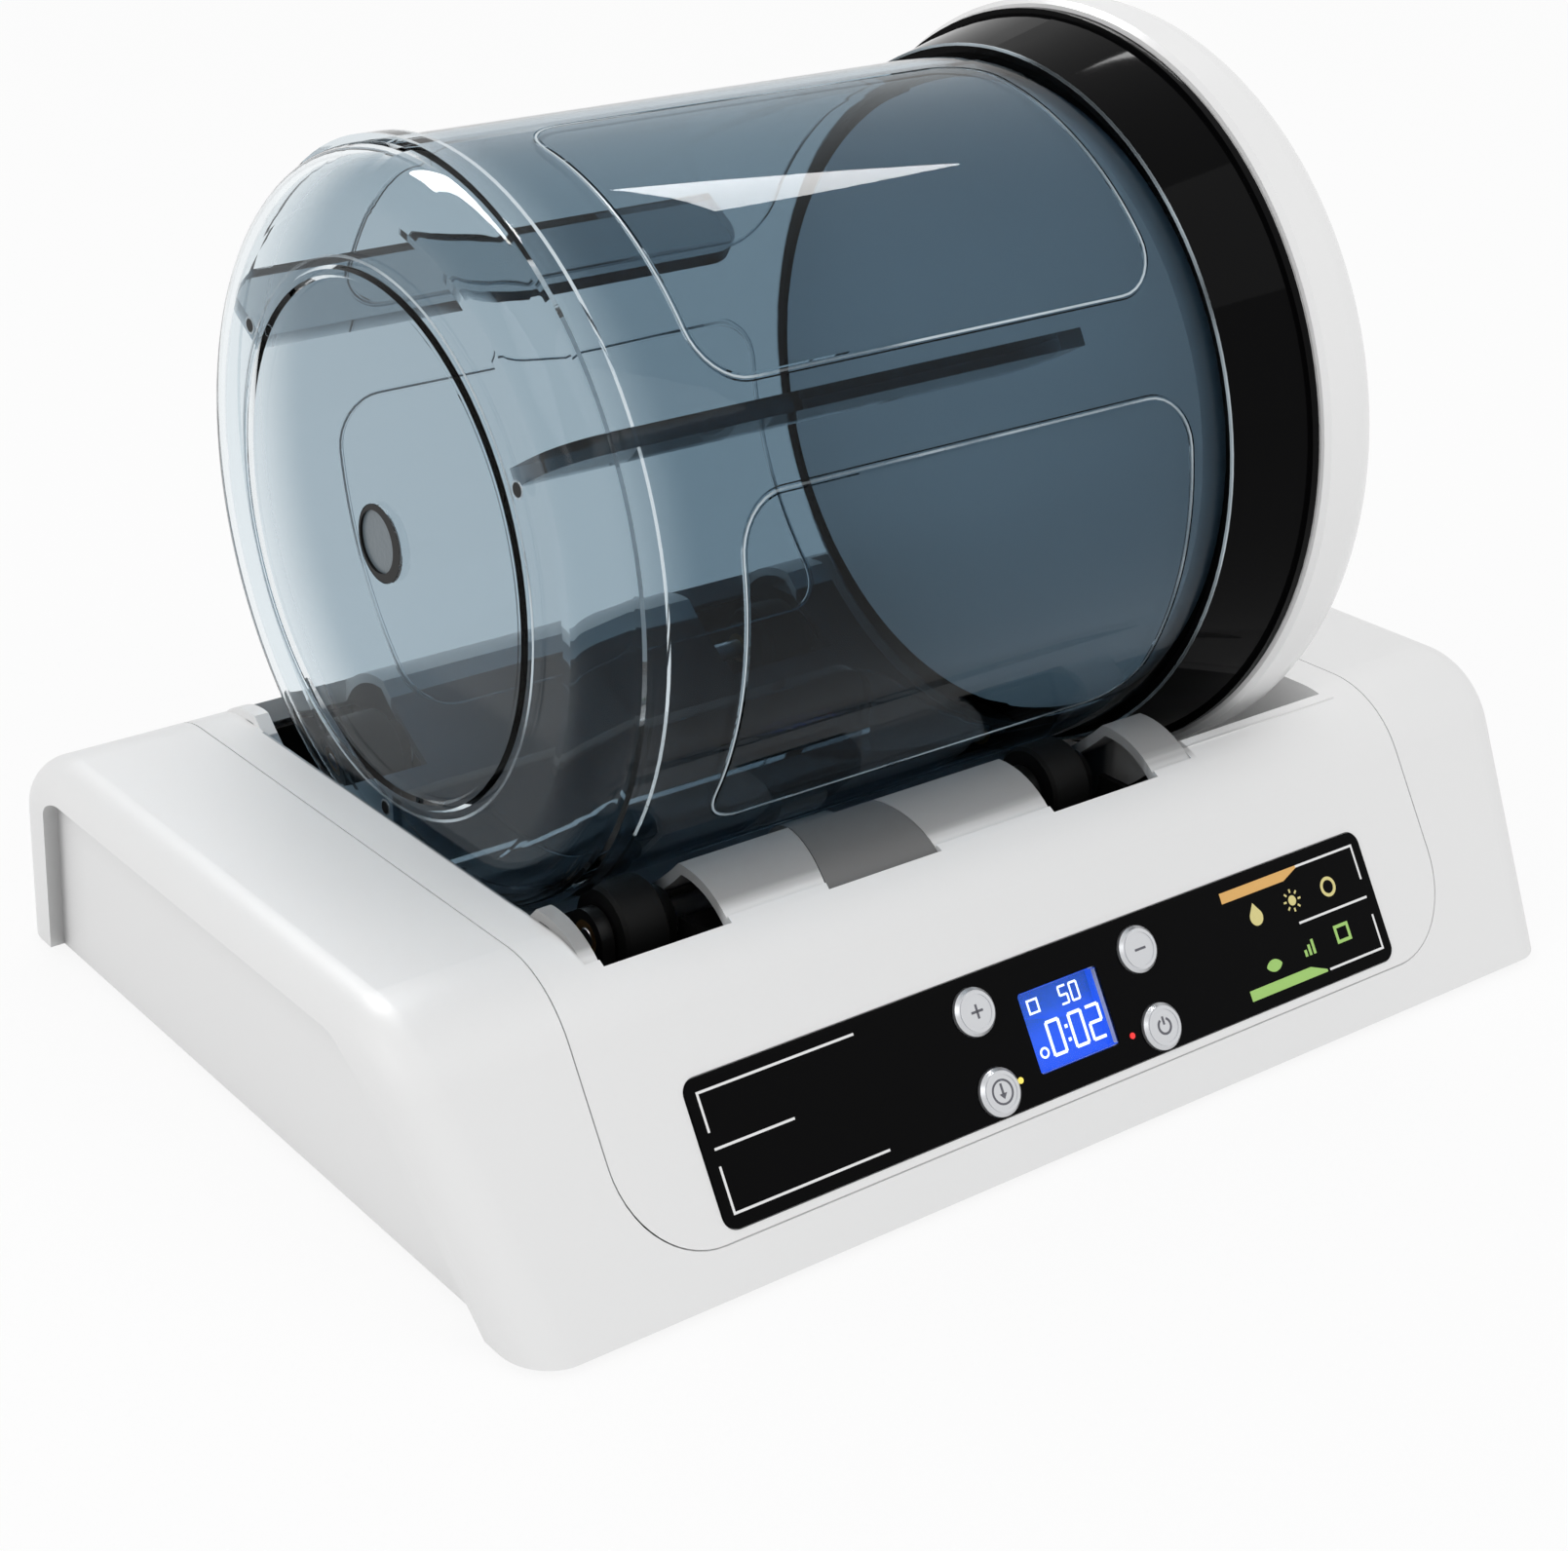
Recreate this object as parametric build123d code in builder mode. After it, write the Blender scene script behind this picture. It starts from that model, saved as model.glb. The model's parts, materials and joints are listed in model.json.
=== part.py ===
from build123d import *
from math import acos, atan2, cos, pi, radians, sin, sqrt, tan
import os

# A countertop meat vacuum tumbler: a smoked drum that lies on four rubber rollers in a white base.
# X runs along the drum towards its lid, the control panel faces -Y, Z is up, z = 0 is the table.

# Base case
foot_height = 2.5
case_height = 80.0
case_width_low = 374.0
case_width_top = 404.0
case_depth_low = 302.0
case_depth_top = 208.0
case_crest_radius = 32.0
case_edge_radius = 12.0
case_wall = 3.0
recess_depth = 4.5
recess_margin = 19.0
recess_top_gap = 9.5
recess_corner = 16.0
seam_half_width = 149.5
seam_low = 11.5
seam_corner = 25.0
seam_gap = 0.4

# Drum, lid and collar, placed along X
drum_radius = 104.0
drum_wall = 3.0
drum_end = -133.0
drum_length = 237.0
shoulder_radius = 14.0
band_end = 21.0
band_width = 7.0
band_height = 2.0
end_bead_radius = 72.5
end_bead_width = 5.0
end_bead_height = 1.5
hub_radius = 11.0
hub_depth = 1.4
panel_count = 5
panel_span = 57.0
panel_first = 61.0
panel_start = 45.0
panel_length = 154.0
panel_corner = 15.0
panel_line_width = 1.6
panel_line_depth = 0.6
baffle_count = 3
baffle_first = 28.5
baffle_height = 25.0
baffle_thickness = 5.0
baffle_length = 165.0
baffle_corner = 12.0
collar_length = 26.0
collar_low = 3.0
collar_high = 9.0
collar_lip = 2.5
collar_lip_height = 1.5
gasket_thickness = 0.9
gasket_width = 13.0
lid_depth = 24.0
lid_radius = 117.0
lid_corner = 12.0
lid_chamfer = 1.5
lid_wall = 3.0
lid_dish_radius = 72.0
lid_dish_depth = 9.0
lid_dish_draft = 8.0
grip_width = 30.0
grip_height = 8.0
grip_edge = 3.0
plug_gap = 4.0
plug_reach = 30.0
plug_wall = 3.0
seal_width = 8.0
seal_inset = 9.0
valve_radius = 9.0
valve_flange = 11.0
valve_floor = 2.0
valve_button_radius = 6.0
valve_button_proud = 1.2
valve_travel = 2.0

# Rollers and drive
roller_radius = 13.0
roller_width = 14.0
roller_spread = 69.4
roller_drop = 15.0
roller_left = -104.0
roller_right = 46.0
roller_hub_radius = 8.0
tyre_edge = 1.0
shaft_radius = 3.0
shaft_chamfer = 0.5
bush_radius = 5.0
bracket_wall = 4.0
bracket_gap = 1.0
bracket_crown = 8.0
bracket_floor = 3.0
bracket_drop = 21.5
tub_front = 101.0
tub_back = 47.0
tub_wall = 2.0
tub_height = 23.5
gear_module = 1.1
driven_teeth = 18
drive_teeth = 36
gear_width = 8.0
gear_x = -40.0
gear_lean = 30.0
gear_backlash = 0.16
pressure_angle = 20.0
tooth_steps = 3
gear_cover_radius = 12.6
gear_cover_wall = 1.1
gear_cover_length = 16.0
motor_radius = 16.0
motor_length = 22.0
motor_tail_radius = 5.0
motor_tail_length = 2.5
gearbox_radius = 18.0
gearbox_length = 18.0
gearbox_boss_radius = 6.0
gearbox_bore = 10.0
motor_plate = 2.0
motor_plate_gap = 0.5
motor_foot_length = 22.0

# Trough in the top cover
trough_clearance = 5.0
lid_clearance = 6.0
step_clearance = 2.5
trough_half_length = 136.0
bench_radius = 28.0
bench_spread = 80.6
bench_drop = 24.7
bench_half_depth = 100.0
bench_lap = 3.5
bench_inner = 57.0
bench_cut = 8.0
bench_foot = 12.5
pocket_left = -111.5
pocket_right = 40.5
pocket_length = 40.0
pocket_front = 102.0
pocket_back = 53.0
pocket_depth = 32.0
gear_pocket_length = 39.0
gear_pocket_taper = 9.0

# Control panel
fascia_width = 246.0
fascia_height = 40.0
fascia_rise = 31.0
fascia_corner = 4.0
fascia_thickness = 1.4
fascia_recess = 1.0
button_radius = 6.75
button_proud = 1.8
button_travel = 1.0
button_x = 30.0
button_rise = 11.4
control_shift = -1.4
window_width = 28.4
window_height = 22.4
window_corner = 1.0
board_width = 150.0
board_height = 34.0
board_thickness = 1.6
board_gap = 9.0
standoff_radius = 2.5
standoff_x = 68.0
standoff_y = 13.0
switch_size = 6.0
button_flange = 1.5
button_flange_thickness = 1.2
display_width = 34.0
display_height = 27.0

# Inside and under the base
plate_wall = 2.5
foot_radius = 9.0
foot_x = 150.0
foot_inset = 33.0
foot_edge = 0.8
slot_count = 6
slot_width = 3.0
slot_pitch = 7.0
slot_length = 26.0
screw_radius = 1.5
screw_length = 14.0
screw_head_radius = 3.2
screw_head_height = 1.6
boss_radius = 4.5
boss_x = 168.0
boss_inset = 55.0
post_radius = 5.0
port_x = 0.0
port_rise = 34.0
port_radius = 3.0
port_bore = 1.8
port_length = 12.0
port_inner_length = 12.0
port_flange = 8.0
flange_thickness = 1.5
tube_wall = 1.5
tube_start = 3.5
inlet_x = 105.0
inlet_radius = 4.0
inlet_length = 14.0
inlet_bore = 2.8
inlet_pin = 1.0
inlet_flange = 7.0
inlet_depth = 9.0
pump_radius = 13.5
pump_length = 52.0
pump_head_size = 30.0
pump_head_length = 22.0
pump_head_edge = 3.0
pump_inset = 59.0
cradle_base = 1.5
cradle_wall = 3.0
cradle_first = 11.0
cradle_second = 38.0
power_board_x = 105.0
power_board_inset = 49.0
power_board_width = 76.0
power_board_depth = 44.0
power_post_radius = 2.5
power_post_inset = 5.0
power_board_lift = 5.0
transformer_x = 18.0
transformer_width = 22.0
transformer_depth = 20.0
transformer_height = 16.0
capacitor_x = -26.0
capacitor_radius = 5.0
capacitor_height = 13.0

# Clearances
fit = 0.3
running = 0.05
slip = 0.1

# Places worked out from the sizes above
case_low = foot_height
deck = foot_height + case_height
slope = atan2(case_height, (case_depth_low - case_depth_top) / 2)
flare = (case_width_top - case_width_low) / 2 / case_height
side_wall = recess_depth + case_wall
plate_top = case_low + plate_wall
roller_z = deck - roller_drop
roll_reach = drum_radius + roller_radius + fit
axis_z = roller_z + sqrt(roll_reach**2 - roller_spread**2)
mouth = drum_end + drum_length
collar_end = mouth + 2 * running
collar_start = collar_end - collar_length
gasket_start = collar_end + running
lid_start = gasket_start + gasket_thickness + running
lid_end = lid_start + lid_depth
drum_axis = Axis((0, 0, axis_z), (1, 0, 0))
drum_plane = Plane(origin=(0, 0, axis_z), x_dir=(1, 0, 0), z_dir=(0, -1, 0))
trough_radius = drum_radius + trough_clearance
lid_trough_radius = lid_radius + lid_clearance
bench_z = deck - bench_drop
bench_end = collar_start - step_clearance
foot_y = case_depth_low / 2 - foot_inset
boss_y = case_depth_low / 2 - boss_inset
pump_y = case_depth_low / 2 - pump_inset
power_board_y = case_depth_low / 2 - power_board_inset
bracket_offset = roller_width / 2 + bracket_gap + bracket_wall / 2
bracket_half = bracket_offset + bracket_wall / 2
bracket_low = roller_z - bracket_drop
shaft_start = roller_left - bracket_half
shaft_end = roller_right + bracket_half
gear_distance = gear_module * (driven_teeth + drive_teeth) / 2
motor_y = -roller_spread - gear_distance * sin(radians(gear_lean))
motor_z = roller_z - gear_distance * cos(radians(gear_lean))
motor_face = gear_x - gear_width / 2 - motor_plate_gap - motor_plate
pump_z = plate_top + cradle_base + pump_head_size / 2
pump_head_start = port_x - pump_head_length / 2
pump_start = pump_head_start - pump_length

os.makedirs("parts", exist_ok=True)


def write(builder, name):
    """Label one finished piece and write it as its own file."""
    builder.part.label = name
    export_step(builder.part, f"parts/{name}.step")


def half_depth(z, inset=0.0):
    """Half the case's depth at a height, measured to a surface set in by inset."""
    return case_depth_low / 2 - (z - case_low) / tan(slope) - inset / sin(slope)


def half_width(z, inset=0.0):
    """Half the case's width at a height, measured to a surface set in by inset."""
    return case_width_low / 2 + (z - case_low) * flare - inset * sqrt(1 + flare**2)


def case_form(inset=0.0, side_inset=0.0, below=0.0):
    """The base's outer form, or the hollow that lies a wall's thickness inside it."""
    low = case_low - below
    top = deck - inset
    with BuildPart() as form:
        with BuildSketch(Plane.YZ) as side:
            with BuildLine():
                Polyline(
                    (-half_depth(low, inset), low),
                    (-half_depth(top, inset), top),
                    (half_depth(top, inset), top),
                    (half_depth(low, inset), low),
                    close=True,
                )
            make_face()
            fillet(side.vertices().group_by(Axis.Y)[-1], case_crest_radius - inset)
        extrude(amount=case_width_top, both=True)
        with BuildSketch(Plane.XZ):
            with BuildLine():
                Polyline(
                    (-half_width(low, side_inset), low),
                    (-half_width(top, side_inset), top),
                    (half_width(top, side_inset), top),
                    (half_width(low, side_inset), low),
                    close=True,
                )
            make_face()
        extrude(amount=case_depth_low, both=True, mode=Mode.INTERSECT)
        ends = form.faces().sort_by(Axis.X)
        rims = [e for face in (ends[0], ends[-1]) for e in face.edges() if e.center().Z > low + 1]
        fillet(rims, case_edge_radius - inset)
    return form.part


def cover_field(grow=0.0):
    """The block of space that the top cover fills, seen from the front, grown for the seam's gap."""
    low = case_low + seam_low
    with BuildPart() as field:
        with BuildSketch(Plane.XZ) as front:
            with Locations((0, low - grow)):
                Rectangle(2 * (seam_half_width + grow), 2 * case_height, align=(Align.CENTER, Align.MIN))
            fillet(front.vertices().group_by(Axis.Y)[0], seam_corner + grow)
        extrude(amount=case_depth_low, both=True)
    return field.part


def along_x(radius, start, end, y=0.0, z=0.0):
    """A rod or disc along X between two places."""
    with BuildPart() as rod:
        with BuildSketch(Plane.YZ.offset(start)):
            with Locations((y, z)):
                Circle(radius)
        extrude(amount=end - start)
    return rod.part


def side_recess():
    """The shallow arched recesses in both ends of the case, open at the lower edge."""
    low = case_low - 1
    top = deck - recess_top_gap
    margin = recess_margin / sin(slope)
    with BuildPart() as recess:
        with BuildSketch(Plane.YZ) as outline:
            with BuildLine():
                Polyline(
                    (-half_depth(low) + margin, low),
                    (-half_depth(top) + margin, top),
                    (half_depth(top) - margin, top),
                    (half_depth(low) - margin, low),
                    close=True,
                )
            make_face()
            fillet(outline.vertices().group_by(Axis.Y)[-1], recess_corner)
        extrude(amount=case_width_top, both=True)
        with BuildSketch(Plane.XZ):
            with BuildLine():
                Polyline(
                    (-half_width(low, recess_depth), low),
                    (-half_width(deck, recess_depth), deck),
                    (half_width(deck, recess_depth), deck),
                    (half_width(low, recess_depth), low),
                    close=True,
                )
            make_face()
        extrude(amount=case_depth_low, both=True, mode=Mode.SUBTRACT)
    return recess.part


def drum_space():
    """The round space in the top cover for the drum and its wider lid."""
    with BuildPart() as space:
        add(along_x(trough_radius, -trough_half_length, collar_start, 0, axis_z))
        add(along_x(lid_trough_radius, bench_end, trough_half_length, 0, axis_z))
    return space.part


def trough_skin():
    """The trough's wall, still solid: the trough grown by the wall's thickness and cut off at the deck."""
    outer = trough_half_length + case_wall
    with BuildPart() as skin:
        add(along_x(trough_radius + case_wall, -outer, collar_start, 0, axis_z))
        add(along_x(lid_trough_radius + case_wall, bench_end - case_wall, outer, 0, axis_z))
        split(bisect_by=Plane.XY.offset(deck - case_wall / 2), keep=Keep.BOTTOM)
    return skin.part


def bench_field(side):
    """The outline of a bench's cross section, cut off at its foot and where it laps under the deck."""
    lap = bench_half_depth + bench_lap
    with BuildSketch() as outline:
        with Locations((side * bench_spread, bench_z)):
            Circle(bench_radius)
        with Locations((side * (lap + bench_inner) / 2, bench_z + bench_foot)):
            Rectangle(
                lap - bench_inner,
                bench_radius,
                align=(Align.CENTER, Align.MIN),
                mode=Mode.INTERSECT,
            )
    return outline.sketch


def bench(side):
    """The rounded bench beside the drum, hollow below and closed by the trough's wall and an end wall."""
    with BuildPart() as shell:
        with BuildSketch(Plane.YZ.offset(-trough_half_length)):
            add(bench_field(side))
            with BuildSketch(mode=Mode.PRIVATE) as hollow:
                with Locations((side * bench_spread, bench_z)):
                    Circle(bench_radius - case_wall)
                with Locations((0, axis_z)):
                    Circle(trough_radius + case_wall, mode=Mode.SUBTRACT)
            add(hollow.sketch, mode=Mode.SUBTRACT)
        extrude(amount=trough_half_length + bench_end)
        with BuildSketch(Plane.YZ.offset(bench_end - case_wall)):
            add(bench_field(side))
        extrude(amount=case_wall)
        add(drum_space(), mode=Mode.SUBTRACT)
    return shell.part


def pocket(x, length, taper, side, grow=0.0):
    """The space of one opening in a bench, wider towards the outside, seen from above."""
    wide = length / 2 + grow
    narrow = wide - taper
    with BuildPart() as space:
        with BuildSketch(Plane.XY.offset(deck - pocket_depth)):
            with BuildLine():
                Polyline(
                    (x - narrow, side * (pocket_back - grow)),
                    (x - wide, side * (pocket_front + grow)),
                    (x + wide, side * (pocket_front + grow)),
                    (x + narrow, side * (pocket_back - grow)),
                    close=True,
                )
            make_face()
        extrude(amount=2 * pocket_depth)
    return space.part


roller_pockets = [(x, pocket_length, 0, side) for side in (-1, 1) for x in (pocket_left, pocket_right)]
gear_pocket = (gear_x, gear_pocket_length, gear_pocket_taper, -1)
controls = [
    ("plus_button", -button_x, button_rise),
    ("vacuum_button", -button_x, -button_rise),
    ("minus_button", button_x, button_rise),
    ("power_button", button_x, -button_rise),
]


def slope_plane(rise, side, x=0.0):
    """A plane on the outside of the front (side -1) or rear (side 1) slope at a height above the edge."""
    z = case_low + rise
    return Plane(
        origin=(x, side * half_depth(z), z),
        x_dir=(-side, 0, 0),
        z_dir=(0, side * sin(slope), cos(slope)),
    )


fascia_plane = slope_plane(fascia_rise, -1)


outer_form = case_form()
inner_form = case_form(case_wall, side_wall, case_wall)


# The white base frame, with its arched end recesses and a screw boss in each corner
with BuildPart() as base_shell:
    add(outer_form)
    add(inner_form, mode=Mode.SUBTRACT)
    add(cover_field(seam_gap), mode=Mode.SUBTRACT)
    add(side_recess(), mode=Mode.SUBTRACT)
    with BuildSketch(Plane.XY.offset(plate_top)):
        with GridLocations(2 * boss_x, 2 * boss_y, 2, 2):
            Circle(boss_radius)
            Circle(screw_radius + running, mode=Mode.SUBTRACT)
    extrude(until=Until.NEXT)
write(base_shell, "base_shell")

# The white top cover: console, trough and the two rounded benches that the rollers stand in
with BuildPart() as top_cover:
    add(outer_form)
    add(inner_form, mode=Mode.SUBTRACT)
    add(trough_skin())
    add(drum_space(), mode=Mode.SUBTRACT)
    with BuildSketch(Plane.XY.offset(deck - bench_cut)):
        with Locations((-trough_half_length, 0)):
            Rectangle(
                trough_half_length + bench_end,
                2 * bench_half_depth,
                align=(Align.MIN, Align.CENTER),
            )
    extrude(amount=2 * bench_cut, mode=Mode.SUBTRACT)
    add(bench(-1))
    add(bench(1))
    add(cover_field(), mode=Mode.INTERSECT)
    for opening in [*roller_pockets, gear_pocket]:
        add(pocket(*opening), mode=Mode.SUBTRACT)
    with BuildSketch(fascia_plane):
        RectangleRounded(fascia_width + 2 * fit, fascia_height + 2 * fit, fascia_corner + fit)
    extrude(amount=-fascia_recess, mode=Mode.SUBTRACT)
    with BuildSketch(fascia_plane):
        for name, x, y in controls:
            with Locations((x, y + control_shift)):
                Circle(button_radius + fit)
        with Locations((0, control_shift)):
            RectangleRounded(window_width + 2 * fit, window_height + 2 * fit, window_corner)
    extrude(amount=-2 * case_wall, mode=Mode.SUBTRACT)
    with BuildSketch(fascia_plane.offset(-board_gap)):
        with GridLocations(2 * standoff_x, 2 * standoff_y, 2, 2):
            Circle(standoff_radius)
    extrude(amount=board_gap - case_wall / 2)
    with BuildSketch(slope_plane(port_rise, 1, port_x)):
        Circle(port_radius + running)
    extrude(amount=-2 * case_wall, mode=Mode.SUBTRACT)
    with BuildSketch(slope_plane(port_rise, 1, inlet_x)):
        Circle(inlet_radius + 2 * running)
    extrude(amount=-2 * case_wall, mode=Mode.SUBTRACT)
write(top_cover, "top_cover")

# The floor of the base, with posts under the roller brackets and cooling slots under the motor
with BuildPart() as bottom_plate:
    with BuildSketch(Plane.XY.offset(case_low)):
        RectangleRounded(
            2 * (half_width(case_low, side_wall) - fit),
            2 * (half_depth(plate_top, case_wall) - fit),
            case_edge_radius - case_wall,
        )
        with GridLocations(2 * boss_x, 2 * boss_y, 2, 2):
            Circle(screw_radius + slip, mode=Mode.SUBTRACT)
        with Locations((motor_face - gearbox_length - motor_length / 2, motor_y)):
            with GridLocations(slot_pitch, 0, slot_count, 1):
                SlotOverall(slot_length, slot_width, rotation=90, mode=Mode.SUBTRACT)
    extrude(amount=plate_wall)
    with BuildSketch(Plane.XY.offset(plate_top)):
        for side in (-1, 1):
            for x in (roller_left, roller_right):
                with Locations((x, side * roller_spread)):
                    Circle(post_radius)
    extrude(amount=bracket_low - plate_top)
    with BuildSketch(Plane.XY.offset(plate_top)):
        with Locations((power_board_x, power_board_y)):
            with GridLocations(
                power_board_width - 2 * power_post_inset,
                power_board_depth - 2 * power_post_inset,
                2,
                2,
            ):
                Circle(power_post_radius)
    extrude(amount=power_board_lift)
write(bottom_plate, "bottom_plate")

# Four rubber feet under the floor
with BuildPart() as feet:
    with BuildSketch():
        with GridLocations(2 * foot_x, 2 * foot_y, 2, 2):
            Circle(foot_radius)
    extrude(amount=foot_height)
    chamfer(feet.edges().group_by(Axis.Z)[0], foot_edge)
write(feet, "feet")

# Pan-head screws that hold the floor to the frame's bosses
with BuildPart() as floor_screws:
    with BuildSketch(Plane.XY.offset(case_low - screw_head_height)):
        with GridLocations(2 * boss_x, 2 * boss_y, 2, 2):
            Circle(screw_head_radius)
    extrude(amount=screw_head_height)
    with BuildSketch(Plane.XY.offset(case_low)):
        with GridLocations(2 * boss_x, 2 * boss_y, 2, 2):
            Circle(screw_radius)
    extrude(amount=screw_length)
write(floor_screws, "floor_screws")


def bearing_places():
    """Where the bearing walls stand along X, one each side of each roller."""
    return [x + end * bracket_offset for x in (roller_left, roller_right) for end in (-1, 1)]


def roller_brackets(side, name):
    """The two black tubs of one row, each with two bearing walls for its roller."""
    y = side * roller_spread
    centre = side * (tub_front + tub_back) / 2
    depth = tub_front - tub_back
    with BuildPart() as brackets:
        with BuildSketch(Plane.XY.offset(bracket_low)):
            with Locations((pocket_left, centre), (pocket_right, centre)):
                Rectangle(pocket_length + 2 * tub_wall, depth)
        extrude(amount=tub_height)
        with BuildSketch(Plane.XY.offset(bracket_low + bracket_floor)):
            with Locations((pocket_left, centre), (pocket_right, centre)):
                Rectangle(pocket_length, depth - 2 * tub_wall)
        extrude(amount=tub_height, mode=Mode.SUBTRACT)
        trough = along_x(trough_radius + case_wall + fit, -trough_half_length, collar_start, 0, axis_z)
        add(trough, mode=Mode.SUBTRACT)
        add(along_x(bracket_crown, -trough_half_length, collar_start, y, roller_z), mode=Mode.SUBTRACT)
        for x in bearing_places():
            with BuildSketch(Plane.YZ.offset(x - bracket_wall / 2)):
                with Locations((y, bracket_low)):
                    Rectangle(2 * bracket_crown, roller_z - bracket_low, align=(Align.CENTER, Align.MIN))
                with Locations((y, roller_z)):
                    Circle(bracket_crown)
                    Circle(bush_radius + running, mode=Mode.SUBTRACT)
            extrude(amount=bracket_wall)
    write(brackets, name)


def bushes(side, name):
    """The four plain bearings of one row."""
    with BuildPart() as rings:
        for x in bearing_places():
            with BuildSketch(Plane.YZ.offset(x - bracket_wall / 2)):
                with Locations((side * roller_spread, roller_z)):
                    Circle(bush_radius)
                    Circle(shaft_radius + running, mode=Mode.SUBTRACT)
            extrude(amount=bracket_wall)
    write(rings, name)


def roller_shaft(side, name):
    """The steel shaft of one row."""
    with BuildPart() as shaft:
        add(along_x(shaft_radius, shaft_start, shaft_end, side * roller_spread, roller_z))
        chamfer(shaft.edges().filter_by(GeomType.CIRCLE), shaft_chamfer)
    write(shaft, name)


def roller_hubs(side, name):
    """The two plastic cores of one row, on the shaft."""
    with BuildPart() as cores:
        for x in (roller_left, roller_right):
            with BuildSketch(Plane.YZ.offset(x - roller_width / 2)):
                with Locations((side * roller_spread, roller_z)):
                    Circle(roller_hub_radius)
                    Circle(shaft_radius + running, mode=Mode.SUBTRACT)
            extrude(amount=roller_width)
    write(cores, name)


def roller_tyres(side, name):
    """The two rubber tyres of one row, turned from a profile."""
    plane = Plane(origin=(0, side * roller_spread, roller_z), x_dir=(1, 0, 0), z_dir=(0, -1, 0))
    inner = roller_hub_radius + running
    with BuildPart() as tyres:
        for x in (roller_left, roller_right):
            with BuildSketch(plane) as profile:
                with Locations((x, (roller_radius + inner) / 2)):
                    Rectangle(roller_width, roller_radius - inner)
                chamfer(profile.vertices().group_by(Axis.Y)[-1], tyre_edge)
            revolve(axis=Axis(plane.origin, (1, 0, 0)))
    write(tyres, name)


for side, row in ((-1, "front"), (1, "rear")):
    roller_brackets(side, f"{row}_brackets")
    bushes(side, f"{row}_bushes")
    roller_shaft(side, f"{row}_shaft")
    roller_hubs(side, f"{row}_hubs")
    roller_tyres(side, f"{row}_tyres")


def gear(teeth, y, z, tooth_angle, name):
    """A spur gear with involute flanks about a point of the YZ plane, with one tooth at an angle."""
    pitch = gear_module * teeth / 2
    base = pitch * cos(radians(pressure_angle))
    tip = pitch + gear_module
    root = pitch - 1.25 * gear_module
    at_pitch = tan(radians(pressure_angle)) - radians(pressure_angle)

    def flank(radius):
        """Half the angle of a tooth at a radius, and the point of its flank there."""
        turn = acos(min(1.0, base / radius))
        angle = pi / (2 * teeth) - gear_backlash / (2 * pitch) + at_pitch - (tan(turn) - turn)
        return (radius * cos(angle), radius * sin(angle))

    low = max(base, root)
    upper = [flank(low + (tip - low) * step / tooth_steps) for step in range(tooth_steps + 1)]
    lower = [(across, -up) for across, up in upper]
    foot = (root - gear_module, upper[0][1])
    with BuildPart() as wheel:
        with BuildSketch(Plane.YZ.offset(gear_x - gear_width / 2)):
            with Locations((y, z)):
                Circle(root)
                with PolarLocations(0, teeth, start_angle=tooth_angle):
                    with BuildSketch(mode=Mode.PRIVATE) as tooth:
                        with BuildLine():
                            Spline(lower)
                            ThreePointArc(lower[-1], (tip, 0), upper[-1])
                            Spline(upper[::-1])
                            Polyline(upper[0], foot, (foot[0], -foot[1]), lower[0])
                        make_face()
                    add(tooth.sketch)
                Circle(shaft_radius + running, mode=Mode.SUBTRACT)
        extrude(amount=gear_width)
    write(wheel, name)


mesh_angle = 270 - gear_lean
gear(driven_teeth, -roller_spread, roller_z, mesh_angle, "driven_gear")
gear(drive_teeth, motor_y, motor_z, mesh_angle - 180 + 180 / drive_teeth, "drive_gear")

# The steel output shaft of the gearmotor
with BuildPart() as motor_shaft:
    shaft_tip = gear_x + gear_width / 2 + 2 * shaft_chamfer
    add(along_x(shaft_radius, gear_x - gear_width / 2 - gearbox_bore, shaft_tip, motor_y, motor_z))
    chamfer(motor_shaft.edges().filter_by(GeomType.CIRCLE), shaft_chamfer)
write(motor_shaft, "motor_shaft")

# The gearmotor: a round gearbox with a boss and bore, the motor can and its tail bearing
with BuildPart() as gearmotor:
    gearbox_back = motor_face - gearbox_length
    can_back = gearbox_back - motor_length
    add(along_x(gearbox_radius, gearbox_back, motor_face, motor_y, motor_z))
    add(along_x(motor_radius, can_back, gearbox_back, motor_y, motor_z))
    add(along_x(motor_tail_radius, can_back - motor_tail_length, can_back, motor_y, motor_z))
    add(along_x(gearbox_boss_radius, motor_face, motor_face + motor_plate, motor_y, motor_z))
    bore_back = motor_face - gearbox_bore
    add(
        along_x(shaft_radius + running, bore_back, motor_face + motor_plate, motor_y, motor_z),
        mode=Mode.SUBTRACT,
    )
write(gearmotor, "gearmotor")

# The angled steel plate that carries the gearmotor on the floor
with BuildPart() as motor_bracket:
    with BuildSketch(Plane.YZ.offset(motor_face)):
        with Locations((motor_y, plate_top)):
            Rectangle(2 * gearbox_radius, motor_z - plate_top, align=(Align.CENTER, Align.MIN))
        with Locations((motor_y, motor_z)):
            Circle(gearbox_radius)
            Circle(gearbox_boss_radius + slip, mode=Mode.SUBTRACT)
    extrude(amount=motor_plate)
    with BuildSketch(Plane.XY.offset(plate_top)):
        with Locations((motor_face + motor_plate, motor_y)):
            Rectangle(motor_foot_length, 2 * gearbox_radius, align=(Align.MAX, Align.CENTER))
    extrude(amount=motor_plate)
write(motor_bracket, "motor_bracket")

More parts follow.
